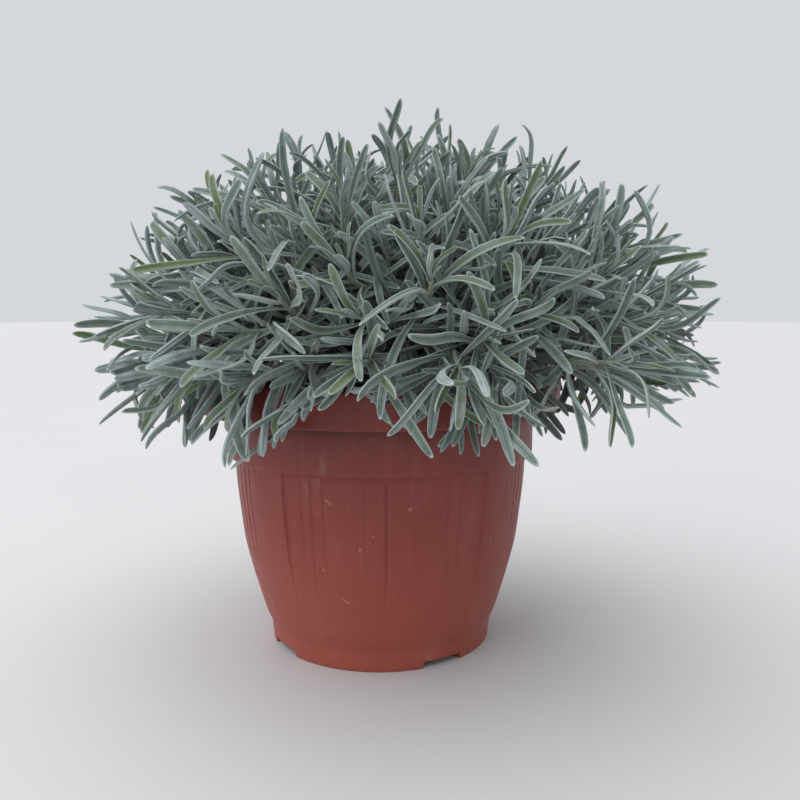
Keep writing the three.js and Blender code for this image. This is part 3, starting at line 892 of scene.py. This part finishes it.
def shoot_tip(index):
    """A shoot's tip, the way it points there, and its height on the dome from -1 to 1."""
    share = (index + 0.5) / SHOOT_TIPS
    height = HIGHEST + (LOWEST - HIGHEST) * share
    side = math.sqrt(1 - height * height)
    turn = rad(index * GOLDEN_ANGLE + TIP_TURN_SPREAD * spread(index, 0, SEED))
    size = 1 + TIP_SIZE_SPREAD * spread(index, 1, SEED) + TIP_SHOULDER * side * max(0, height)
    across = side * size
    uneven = TIP_HEIGHT_SPREAD * spread(index, 2, SEED) if height < UNEVEN_BELOW else 0
    point = np.array([
        TIP_CENTRE[0] * across + TIP_RADII[0] * across * math.cos(turn),
        TIP_CENTRE[1] + TIP_RADII[1] * across * math.sin(turn),
        TIP_CENTRE[2] + TIP_RADII[2] * height * size + uneven,
    ])
    steep = LIFT_RANGE * max(0, height - LOWEST) ** LIFT_POWER
    lift = rad(LEAST_LIFT + steep + LIFT_SPREAD * spread(index, 3, SEED))
    way = np.array([math.cos(lift) * math.cos(turn), math.cos(lift) * math.sin(turn), math.sin(lift)])
    return point, way, height


class Stem:
    """A smooth stem that can be asked for places by share of its length."""

    def __init__(self, start, start_way, tip, rise):
        point, way, height = tip
        span = np.linalg.norm(point - start)
        first = start + start_way * span * START_PULL
        first[2] += rise
        second = point - way * span * END_PULL
        if height < ARCHING_BELOW:
            second[2] += ARCH_RISE
        self.corners = (start, first, second, point)
        self.stops = np.linspace(0, 1, 201)
        steps = np.linalg.norm(np.diff(self.at(self.stops), axis=0), axis=1)
        self.run = np.concatenate([[0], np.cumsum(steps)])
        self.length = self.run[-1]

    def at(self, t):
        t = np.atleast_1d(np.asarray(t, float))[:, None]
        a, b, c, d = self.corners
        return (1 - t) ** 3 * a + 3 * (1 - t) ** 2 * t * b + 3 * (1 - t) * t ** 2 * c + t ** 3 * d

    def place(self, u):
        return self.at(np.interp(u * self.length, self.run, self.stops))[0]

    def way(self, u):
        t = float(np.interp(u * self.length, self.run, self.stops))
        low, high = max(0, t - 1e-4), min(1, t + 1e-4)
        return unit(self.at(high)[0] - self.at(low)[0])

    def joint(self, setback):
        """The place where a leaf leaves the stem, this far back from its tip, and the stem's way there."""
        u = max(0.03, 1 - setback / self.length)
        return self.place(u), self.way(u)


def grow_stems(branch):
    """The main stem and the side shoot of a branch, each with its shoot number."""
    own = branch % LIMB_COUNT
    main = 2 * LIMB_COUNT * (branch // LIMB_COUNT) + own
    tip = shoot_tip(main)
    root = limb_end(OTHER_LIMB.get(branch, own))
    way = tip[0] - root
    way[2] = way[2] * START_STEEPNESS + START_LIFT
    way = unit(way)
    stem = Stem(root + way * (KNOT_RADIUS + STEM_START_GAP), way, tip, RISE.get(branch, USUAL_RISE))
    side_tip = shoot_tip(main + LIMB_COUNT)
    start = stem.place(SIDE_START)
    side_way = unit(0.5 * stem.way(SIDE_START) + unit(side_tip[0] - start))
    return [(main, stem), (main + LIMB_COUNT, Stem(start, side_way, side_tip, SIDE_RISE))]


def swell(x, much, middle, reach):
    return much * math.exp(-(((x - middle) / reach) ** 2))


def hang_limit(x, y):
    """How low the leaves hang outside the rim: lowest at the front left, with a parting beside it."""
    limit = HANG_LOWEST + RIGHT_RISE * max(0, x - RIGHT_FROM)
    if y < 0:
        limit += swell(x, *PARTING) - swell(x, *LOW_HANG)
    return limit


def clear_of_pot(p):
    """Whether a place is above the rim, outside it and not too low, or inside it over the soil."""
    r = math.hypot(p[0], p[1])
    if p[2] > RIM_TOP + CLEAR_ABOVE:
        return True
    if r > RIM_RADIUS + CLEAR_OUTSIDE:
        return p[2] > hang_limit(p[0], p[1])
    return r < COLLAR_RADIUS - CLEAR_INSIDE and p[2] > SOIL_TOP + CLEAR_OF_SOIL


def turned(vectors, axes, angles):
    """Each vector turned about its own axis."""
    c, s = np.cos(angles)[:, None], np.sin(angles)[:, None]
    along = (vectors * axes).sum(1)[:, None]
    return vectors * c + np.cross(axes, vectors) * s + axes * along * (1 - c)


class Leaf:
    """A leaf that leaves its stem along its way, and curls and sways towards its end."""

    SHARES = np.linspace(0, 1, 21)

    def __init__(self, base, way, bend, across, length, width, twist, key, curl):
        self.base, self.way, self.bend, self.across = base, way, bend, across
        self.length, self.width, self.twist = length, width, twist
        roll = HINGE_ROLL * spread(key, 10, CURL_DRAWS)
        self.hinge = unit(across * math.cos(roll) + np.cross(way, across) * math.sin(roll))
        side = 1 if chance(key, 15, CURL_DRAWS) < CURLED_UP else -1
        self.curl = curl * side * within(CURL_SHARE, key, 11, CURL_DRAWS)
        self.sway = SWAY * curl * spread(key, 12, CURL_DRAWS)
        self.late = within(CURL_DELAY, key, 13, CURL_DRAWS)
        self.fold = within(FOLD, key, 14, CURL_DRAWS)
        self.inner = False
        self.draw()

    def draw(self):
        """Works out the leaf's middle line and its way along it."""
        u = self.SHARES
        along = self.way + 2 * u[:, None] * self.bend
        along /= np.linalg.norm(along, axis=1)[:, None]
        angle = self.curl * u ** self.late + self.sway * np.sin(2 * math.pi * u)
        self.along = turned(along, np.tile(self.hinge, (len(u), 1)), angle)
        steps = 0.5 * (self.along[1:] + self.along[:-1]) * (self.length / (len(u) - 1))
        self.line = self.base + np.vstack([np.zeros(3), np.cumsum(steps, axis=0)])

    def points(self, u):
        return np.stack([np.interp(u, self.SHARES, self.line[:, k]) for k in range(3)], 1)

    def ways(self, u):
        found = np.stack([np.interp(u, self.SHARES, self.along[:, k]) for k in range(3)], 1)
        return found / np.linalg.norm(found, axis=1)[:, None]


def lift_off_pot(leaf):
    """The leaf, raised until it is clear of the pot, or nothing if it never is."""
    for _ in range(LIFT_TRIES):
        if all(clear_of_pot(p) for p in leaf.line[6::2]):
            return leaf
        leaf.way = unit(leaf.way + np.array([0, 0, 0.13]))
        leaf.bend = leaf.bend + np.array([0, 0, 0.05])
        leaf.curl *= 0.85
        leaf.draw()
    return None


def across_stem(stem_way, turn):
    """The direction out from a stem at this turn around it."""
    up = np.array([1.0, 0, 0]) if abs(stem_way[2]) > 0.92 else np.array([0, 0, 1.0])
    east = unit(np.cross(up, stem_way))
    north = unit(np.cross(stem_way, east))
    return east * math.cos(turn) + north * math.sin(turn)


def vigour(tip_index):
    """From 0 to 1, how broad and heavy a shoot's leaves are: most on the low shoots at the front left."""
    point, _, height = shoot_tip(tip_index)
    at_left, in_front = smooth(*STRONG_X, point[0]), smooth(*STRONG_Y, point[1])
    return float(at_left * in_front * smooth(*STRONG_HEIGHT, height))


def make_leaf(stem, tip_index, pair, hand, turn_more=0.0, lean_more=1.0):
    """One leaf of a pair: the CAD's pairs by its rule, the others freer and longer."""
    key = tip_index * 16 + pair * 2 + hand
    base, stem_way = stem.joint(PAIR_SETBACK[pair])
    turn = tip_index * SHOOT_TURN + pair * 90 + hand * 180 + TURN_SPREAD * spread(key, 0, LEAF_DRAWS)
    out = across_stem(stem_way, rad(turn + turn_more))
    lean = rad(PAIR_ANGLE[pair] * (1 + LEAN_SPREAD * spread(key, 1, LEAF_DRAWS)) * lean_more)
    way = stem_way * math.cos(lean) + out * math.sin(lean)
    bend = out * PAIR_ARCH[pair] * (1 + ARCH_SPREAD * spread(key, 3, LEAF_DRAWS))
    bend[2] -= LEAF_DROOP * (pair / 6) * within(DROOP_SHARE, key, 4, LEAF_DRAWS)
    length = PAIR_LENGTH[pair] * (LENGTH_SHARE + LENGTH_SPREAD * spread(key, 2, LEAF_DRAWS)) * LONGER
    width = LEAF_WIDTH * within(WIDTH_SHARE, key, 5, LEAF_DRAWS)
    width = width * (YOUNGEST_WIDTH if pair == 0 else 1) * NARROWER
    twist = LEAF_TWIST * spread(key, 6, LEAF_DRAWS)
    curl = CAD_CURL
    if pair not in CAD_PAIRS:
        curl, twist, length = FREE_CURL, FREE_TWIST * twist, LONGER * length
        width *= 0.9 + BROADER * max(0.0, chance(key, 7, LEAF_DRAWS) - BROAD_FROM) / (1 - BROAD_FROM)
    strong = vigour(tip_index)
    width, length = width * (1 + STRONG_WIDTH * strong), length * (1 + STRONG_LENGTH * strong)
    length *= 1 - TOP_SHORTER * float(smooth(*TOP_TIPS, shoot_tip(tip_index)[2]))
    bend[2] -= STRONG_DROOP * strong * chance(key, 8, LEAF_DRAWS)
    leaf = Leaf(base, way, bend, unit(np.cross(stem_way, out)), length, width, twist, key, curl)
    return lift_off_pot(leaf)


def small_leaf(stem, key, setback, turn, lean, length, width, curl=SMALL_CURL):
    """A leaf of a side shoot, or a young one at a stem's end."""
    base, stem_way = stem.joint(setback)
    out = across_stem(stem_way, turn + rad(SMALL_TURN_SPREAD * spread(key, 0, SMALL_LEAF_DRAWS)))
    angle = rad(lean * (1 + SMALL_LEAN_SPREAD * spread(key, 1, SMALL_LEAF_DRAWS)))
    way = stem_way * math.cos(angle) + out * math.sin(angle)
    bend = out * SMALL_ARCH * chance(key, 3, SMALL_LEAF_DRAWS)
    bend[2] -= SMALL_DROOP * chance(key, 2, SMALL_LEAF_DRAWS)
    length *= 1 + SMALL_LENGTH_SPREAD * spread(key, 2, SMALL_LEAF_DRAWS)
    width *= within(SMALL_WIDTH, key, 4, SMALL_LEAF_DRAWS)
    twist = SMALL_TWIST * spread(key, 5, SMALL_LEAF_DRAWS)
    leaf = Leaf(base, way, bend, unit(np.cross(stem_way, out)), length, width, twist, key, curl)
    return lift_off_pot(leaf)


def hanging_leaf(stem, tip_index, number):
    """A broad old leaf that hangs down from one of the lowest shoots."""
    key = 40000 + tip_index * 16 + number
    u = 1 - (HANGING_SETBACK + HANGING_STEP * number) / stem.length
    base, stem_way = stem.place(u), stem.way(u)
    down = np.array([0, 0, -1.0])
    down = unit(down - stem_way * down.dot(stem_way))
    aside = np.cross(stem_way, down)
    turn = rad(HANGING_TURN) * spread(key, 0, HANGING_DRAWS)
    out = down * math.cos(turn) + aside * math.sin(turn)
    lean = rad(within(HANGING_LEAN, key, 1, HANGING_DRAWS))
    way = stem_way * math.cos(lean) + out * math.sin(lean)
    strong = vigour(tip_index)
    width = LEAF_WIDTH * within(HANGING_WIDTH, key, 2, HANGING_DRAWS) * (1 + STRONG_HANGING_WIDTH * strong)
    length = within(HANGING_LENGTH, key, 3, HANGING_DRAWS)
    bend = np.array([0, 0, -HANGING_BEND - STRONG_HANGING_BEND * strong])
    twist = HANGING_TWIST * spread(key, 4, HANGING_DRAWS)
    leaf = Leaf(base, way, bend, unit(np.cross(stem_way, out)), length, width, twist, key,
                HANGING_CURL)
    return lift_off_pot(leaf)


def grow_tufts(shoots):
    """Short leafy side shoots lower down each stem, with their numbers."""
    found = []
    for tip_index, stem in shoots:
        for k, (back, long) in enumerate(TUFTS):
            if back > LOWEST_JOINT * stem.length:
                continue
            number = 1000 + tip_index * 8 + k
            base, stem_way = stem.joint(back)
            out = across_stem(stem_way, 2 * math.pi * chance(number, 0, TUFT_DRAWS))
            angle = rad(within(TUFT_LEAN, number, 1, TUFT_DRAWS))
            way = stem_way * math.cos(angle) + out * math.sin(angle)
            end_way = unit(way + np.array([0, 0, TUFT_UPTURN]))
            end = base + (way + 0.25 * end_way) * long * within(TUFT_GROWTH, number, 2, TUFT_DRAWS)
            tuft = Stem(base, way, (end, end_way, 1.0), 0.0)
            if all(clear_of_pot(p) for p in tuft.at(np.linspace(0.4, 1, 5))):
                found.append((number, tuft))
    return found


class Room:
    """Remembers where leaves run, so that a new one can be turned out of their way."""

    CELL = 4.0
    FROM_SHARE = 0.28
    STEP = 3.4

    def __init__(self):
        self.cells = {}

    def points_of(self, leaf):
        return leaf.points(np.linspace(self.FROM_SHARE, 1.0, max(6, int(leaf.length / self.STEP))))

    def cell(self, x, y, z):
        return int(x // self.CELL), int(y // self.CELL), int(z // self.CELL)

    def nearest(self, leaf, enough):
        """The least distance from the leaf to others, counted up to enough."""
        best = enough * enough
        for x, y, z in self.points_of(leaf):
            i, j, k = self.cell(x, y, z)
            for a in (i - 1, i, i + 1):
                for b in (j - 1, j, j + 1):
                    for c in (k - 1, k, k + 1):
                        for px, py, pz in self.cells.get((a, b, c), ()):
                            gap = (px - x) ** 2 + (py - y) ** 2 + (pz - z) ** 2
                            if gap < best:
                                best = gap
        return math.sqrt(best)

    def fill(self, leaf):
        for x, y, z in self.points_of(leaf):
            self.cells.setdefault(self.cell(x, y, z), []).append((x, y, z))


# ---------- leaf and stem meshes ----------
LEAF_STOPS = np.array([0, 0.05, 0.12, 0.21, 0.32, 0.43, 0.54, 0.65, 0.75, 0.84, 0.91, 0.955, 0.985, 0.998])
SECTION = np.array([
    (-0.98, -0.10), (-0.80, 0.34), (-0.56, 0.20), (-0.22, 0.16), (0, -0.16), (0.22, 0.16), (0.56, 0.20),
    (0.80, 0.34), (0.98, -0.10), (0.94, -0.62), (0.74, -0.84), (0.50, -0.30), (0.20, -0.42), (0, -0.86),
    (-0.20, -0.42), (-0.50, -0.30), (-0.74, -0.84), (-0.94, -0.62),
])
SECTION_BELOW = np.array([0.0] * 9 + [0.5] + [1.0] * 7 + [0.5])
# Leaves of the inner shoots have fewer places along and across.
INNER_STOPS = LEAF_STOPS[[0, 2, 4, 6, 8, 10, 11, 12, 13]]
INNER_SECTION = [0, 1, 2, 4, 6, 7, 8, 10, 11, 13, 15, 16]


def leaf_mesh(leaf, thick):
    """The leaf's vertices and faces, and each vertex's share along, nearness to the edge and side."""
    u = INNER_STOPS if leaf.inner else LEAF_STOPS
    kept = INNER_SECTION if leaf.inner else slice(None)
    middle, along = leaf.points(u), leaf.ways(u)
    side = turned(np.tile(leaf.across, (len(u), 1)), along, leaf.twist * u)
    side -= along * (side * along).sum(1)[:, None]
    side /= np.linalg.norm(side, axis=1)[:, None]
    upper = np.cross(along, side)
    widening = 0.32 + 0.68 * smooth(0, 0.6, u)
    thickening = 0.5 + 0.5 * smooth(0, 0.25, u)
    half = 0.5 * leaf.width * widening * np.sqrt(np.maximum(0, 1 - u ** 11))
    body = thick * thickening * np.sqrt(np.maximum(0, 1 - u ** 14))
    fold = leaf.fold * (1.1 - 0.55 * u)
    size = leaf.width / LEAF_WIDTH
    v, y = SECTION[kept, 0], SECTION[kept, 1]
    lift = (body * size)[:, None] * y[None] + (half * np.sin(fold))[:, None] * np.abs(v)[None] ** 1.4
    reach = (half * np.cos(fold))[:, None] * v[None]
    points = middle[:, None] + side[:, None] * reach[..., None] + upper[:, None] * lift[..., None]
    below = np.tile(SECTION_BELOW[kept], len(u))
    place = np.stack([np.repeat(u, len(v)), np.tile(np.abs(v), len(u)), below], 1)
    return points.reshape(-1, 3), tube_faces(len(u), len(v)), place


def stem_mesh(stem, thick_start, thick_end):
    """A slightly four-sided stem with swollen joints.

    Its vertices carry their share along it and their nearness to a corner.
    """
    count = max(8, int(stem.length / STEM_STEP))
    u = np.linspace(0, 1, count)
    middle = np.array([stem.place(x) for x in u])
    side, other = frames_along(np.array([stem.way(x) for x in u]), (0.3, 0.5, 1.0))
    a = np.arange(STEM_SIDES) * 2 * math.pi / STEM_SIDES
    square = 1 + STEM_CORNERS * np.cos(4 * a)
    radius = thick_start + (thick_end - thick_start) * u
    back = (1 - u) * stem.length
    for setback in PAIR_SETBACK[1:]:
        radius = radius * (1 + JOINT_SWELLING * np.exp(-((back - setback - 1) / JOINT_REACH) ** 2))
    ring = radius[:, None] * square[None]
    points = (middle[:, None] + side[:, None] * (ring * np.cos(a)[None])[..., None]
              + other[:, None] * (ring * np.sin(a)[None])[..., None]).reshape(-1, 3)
    place = np.zeros_like(points)
    place[:, 0] = np.repeat(u, STEM_SIDES)
    place[:, 1] = np.tile((square - 1 + STEM_CORNERS) / (2 * STEM_CORNERS), count)
    return points, tube_faces(count, STEM_SIDES), place


def leaf_kind(tip_index, number, hand, youth):
    """Its tint, its youth and how much of the green shows through the felt.

    A youth below zero is an old leaf from inside the plant; its material darkens it partly for its age and
    partly as painted shade deep in the bush.
    """
    tint = chance(tip_index, number * 2 + hand, TINT_DRAWS)
    shoot = chance(tip_index, 3, SHOOT_TINT_DRAWS)
    warm = max(0.0, chance(tip_index, number * 2 + hand, WARM_DRAWS) - WARM_FROM) * 4.0
    if youth > YOUNG_FROM:
        warm += YOUNG_WARMTH
    return (0.6 * tint + 0.4 * shoot, youth, min(1.0, warm))


def settle(room, tries, wanted, least):
    """The first of some ways to place a leaf that has room, or the roomiest of them."""
    best = None
    for leaf in tries:
        if leaf is None:
            continue
        gap = room.nearest(leaf, wanted)
        if best is None or gap > best[0]:
            best = (gap, leaf)
        if gap >= wanted - ROOM_MARGIN:
            break
    if best is None or best[0] < least:
        return None
    room.fill(best[1])
    return best[1]


def grow_leaves(branches, tufts):
    """All leaves of all branches: those that the CAD carries first, then the rest."""
    room = Room()
    grown = [[] for _ in branches]
    outer = [(b, index, stem) for b, shoots in enumerate(branches) for index, stem in shoots]
    inner = [(b, number, stem) for b, shoots in enumerate(tufts) for number, stem in shoots]

    def keep(b, leaf, kind):
        if leaf:
            grown[b].append((leaf, kind))

    for b, index, stem in outer:
        for pair in CAD_PAIRS:
            for hand in (0, 1):
                leaf = make_leaf(stem, index, pair, hand)
                if leaf:
                    room.fill(leaf)
                keep(b, leaf, leaf_kind(index, pair, hand, 1 - pair / 4))
    for pair in OTHER_PAIRS:
        youth = 1 - pair / 4 if pair < 5 else -0.35 * (pair - 4)
        least = LEAST_ROOM_YOUNG if pair < 3 else LEAST_ROOM_OLD
        for b, index, stem in outer:
            if PAIR_SETBACK[pair] > LOWEST_PAIR * stem.length:
                continue
            for hand in (0, 1):
                tries = (make_leaf(stem, index, pair, hand, turn, lean) for turn, lean in LEAF_TRIES)
                keep(b, settle(room, tries, LEAF_ROOM, least), leaf_kind(index, pair, hand, youth))
    for b, index, stem in outer:
        hanging = round(HANGING_COUNT + STRONG_HANGING_COUNT * vigour(index))
        if shoot_tip(index)[2] >= LOW_SHOOT:
            hanging = 0
        for number in range(hanging):
            leaf = settle(room, (hanging_leaf(stem, index, number),), INNER_ROOM, LEAST_ROOM)
            keep(b, leaf, leaf_kind(index, 20 + number, 0, 0.1))
        for hand in (0, 1):
            turn = rad(index * SHOOT_TURN + 90 + hand * 180)
            leaf = small_leaf(stem, index * 64 + hand, 0.5, turn, 6, *TIP_LEAF_SIZE, curl=0.3)
            keep(b, leaf, leaf_kind(index, 11, hand, 1.0))
    for step, (setback, length, lean) in enumerate(zip(TUFT_SETBACK, TUFT_LENGTH, TUFT_ANGLE)):
        for b, number, stem in inner:
            youth = TUFT_YOUTH[number % 8] - (0.2 if step > 2 else 0.0)
            for hand in (0, 1):
                turn = rad(number * 53 + step * 90 + hand * 180)
                key = number * 16 + step * 2 + hand
                tries = (small_leaf(stem, key, setback, turn + more, lean, length, TUFT_WIDTH)
                         for more in TUFT_TRIES)
                leaf = settle(room, tries, INNER_ROOM, LEAST_ROOM)
                if leaf:
                    leaf.inner = True
                keep(b, leaf, leaf_kind(number, step, hand, youth))
    return grown


def make_branch(number, shoots, leaves, materials):
    """One mesh with a branch's stems and leaves, and the values that its materials read."""
    parts = []
    for k, (_, stem) in enumerate(shoots):
        points, faces, place = stem_mesh(stem, *STEM_THICKNESS[min(k, 2)])
        parts.append((points, faces, 0, place, np.zeros_like(place), np.zeros_like(place)))
    for j, (leaf, kind) in enumerate(leaves):
        thick = LEAF_THICKNESS + THICKNESS_SPREAD * spread(number * 128 + j, 3, THICKNESS_DRAWS)
        points, faces, place = leaf_mesh(leaf, thick)
        parts.append((points, faces, 1, np.zeros_like(place), place, np.tile(kind, (len(place), 1))))
    all_faces, slots, first = [], [], 0
    for points, faces, slot, *_ in parts:
        all_faces += moved(faces, first)
        slots += [slot] * len(faces)
        first += len(points)
    points, _, _, stem_place, leaf_place, kinds = zip(*parts)
    piece = add_object(f"lavender_branch_{number + 1:02d}", np.vstack(points), all_faces, materials, slots)
    carry(piece, "stem_place", np.vstack(stem_place))
    carry(piece, "leaf_place", np.vstack(leaf_place))
    carry(piece, "leaf_kind", np.vstack(kinds))
    return piece


# ---------- woody base ----------
def rough_tube(path, radii, sides, number):
    """A bark-covered limb through these points."""
    line = np.array(path)
    way = np.gradient(line, axis=0)
    way /= np.linalg.norm(way, axis=1)[:, None]
    side, other = frames_along(way, (0.31, 0.52, 0.27))
    points = []
    for i, radius in enumerate(radii):
        for j in range(sides):
            a = 2 * math.pi * j / sides
            ridge = BARK_RIDGES * math.sin(3 * a + number + 0.35 * i)
            bump = 1 + ridge + BARK_LUMPS * spread(i * sides + j, number, BARK_DRAWS)
            points.append(line[i] + radius * bump * (side[i] * math.cos(a) + other[i] * math.sin(a)))
    return points, tube_faces(len(line), sides)


def knot(centre, radius, number):
    """A lumpy ball of old wood."""
    points = []
    for i in range(KNOT_ROWS):
        lift = math.pi * (i + 0.5) / KNOT_ROWS
        for j in range(KNOT_SIDES):
            a = 2 * math.pi * j / KNOT_SIDES
            d = np.array([math.sin(lift) * math.cos(a), math.sin(lift) * math.sin(a), -math.cos(lift)])
            wave = KNOT_WAVES * math.sin(5 * d[0] + number) * math.sin(4 * d[1] + 2 * number)
            lump = 1 + wave + KNOT_LUMPS * spread(i * KNOT_SIDES + j, number, KNOT_DRAWS)
            points.append(centre + radius * lump * d)
    return points, tube_faces(KNOT_ROWS, KNOT_SIDES)


def make_woody_base():
    """The trunk, its head, and the limbs with a knot at each end."""
    points, faces = [], []

    def take(found):
        faces.extend(moved(found[1], len(points)))
        points.extend(found[0])

    heights = np.linspace(TRUNK_FOOT, TRUNK_TOP + 2, RINGS_ALONG)
    waist = [TRUNK_RADIUS * (1.0 + 0.05 * math.sin(z)) for z in heights]
    take(rough_tube([(0, 0, z) for z in heights], waist, TRUNK_SIDES, 1))
    take(knot(np.array([0, 0, TRUNK_TOP]), TRUNK_RADIUS + HEAD_SWELLING, 2))
    for limb in range(LIMB_COUNT):
        end = limb_end(limb)
        start = np.array([0, 0, TRUNK_TOP - 2])
        elbow = end * 0.6
        elbow[2] = TRUNK_TOP + 1 + 0.3 * (end[2] - TRUNK_TOP)
        shares = np.linspace(0, 1, RINGS_ALONG)
        path = [(1 - t) ** 2 * start + 2 * t * (1 - t) * elbow + t * t * end for t in shares]
        take(rough_tube(path, np.linspace(*LIMB_THICKNESS, RINGS_ALONG), LIMB_SIDES, limb + 3))
        take(knot(end, KNOT_RADIUS, limb + 5))
    return add_object("woody_stems", points, faces, [bark()])


# ---------- stage, light and camera ----------
def make_stage():
    """A plain pale floor: a disc in rings, wide enough that its edge is far away."""
    points, faces = [(0.0, 0.0, 0.0)], []
    columns = 48
    for radius in (1.0, 3.0, 9.0):
        for j in range(columns):
            a = 2 * math.pi * j / columns
            points.append((radius * math.cos(a), radius * math.sin(a), 0.0))
    for j in range(columns):
        k = (j + 1) % columns
        faces.append((0, 1 + j, 1 + k))
        for ring in (1, 1 + columns):
            faces.append((ring + j, ring + columns + j, ring + columns + k, ring + k))
    add_object("pale_floor", points, faces, [pale_floor()], millimetres=False)


def add_light(name, kind, place, target, power):
    """A lamp at this place that points at its target."""
    lamp = bpy.data.lights.new(name, kind)
    lamp.energy = power
    holder = bpy.data.objects.new(name, lamp)
    holder.location = place
    holder.rotation_euler = (Vector(target) - Vector(place)).to_track_quat("-Z", "Y").to_euler()
    bpy.context.scene.collection.objects.link(holder)
    return lamp


def light_it():
    """A pale sky, a broad soft light from above and a softbox at the front left."""
    world = bpy.data.worlds.new("studio")
    world.use_nodes = True
    background = world.node_tree.nodes["Background"]
    background.inputs[0].default_value = SKY_TINT
    background.inputs[1].default_value = SKY_STRENGTH
    bpy.context.scene.world = world
    overhead, plant = (POT_X - 0.40, POT_Y + 0.02, 1.5), (POT_X, POT_Y, 0.2)
    skylight = add_light("soft_skylight", "SUN", overhead, plant, SKYLIGHT_POWER)
    skylight.angle = rad(SKYLIGHT_WIDTH)
    front_left, collar = (POT_X - 1.3, POT_Y - 1.3, 0.7), (POT_X, POT_Y, 0.12)
    softbox = add_light("front_softbox", "AREA", front_left, collar, SOFTBOX_POWER)
    softbox.size = SOFTBOX_SIDE


def place_camera():
    """At the height and distance from which the plant is usually seen on a bench."""
    lens = bpy.data.cameras.new("camera")
    lens.sensor_width = SENSOR_WIDTH
    lens.lens = FOCAL_LENGTH
    lens.clip_start = CLIP_START
    camera = bpy.data.objects.new("camera", lens)
    camera.location = (POT_X + CAMERA_ASIDE, POT_Y - CAMERA_DISTANCE, CAMERA_HEIGHT)
    camera.rotation_euler = (rad(90 - CAMERA_TILT), 0, 0)
    bpy.context.scene.collection.objects.link(camera)
    bpy.context.scene.camera = camera


# ---------- putting it together ----------
def show(piece, node):
    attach(piece, "root")
    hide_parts(node)


show(make_pot(), "pot")
show(make_soil(), "soil")
show(make_woody_base(), "woody_base")

stems = [grow_stems(branch) for branch in range(BRANCHES)]
tufts = [grow_tufts(shoots) for shoots in stems]
leaves = grow_leaves(stems, tufts)
branch_materials = [green_stem(), felted_leaf()]
for branch in range(BRANCHES):
    piece = make_branch(branch, stems[branch] + tufts[branch], leaves[branch], branch_materials)
    show(piece, f"branch_{branch + 1:02d}")

make_stage()
light_it()
place_camera()

bpy.context.scene.view_settings.view_transform = "Standard"

bpy.context.view_layer.update()
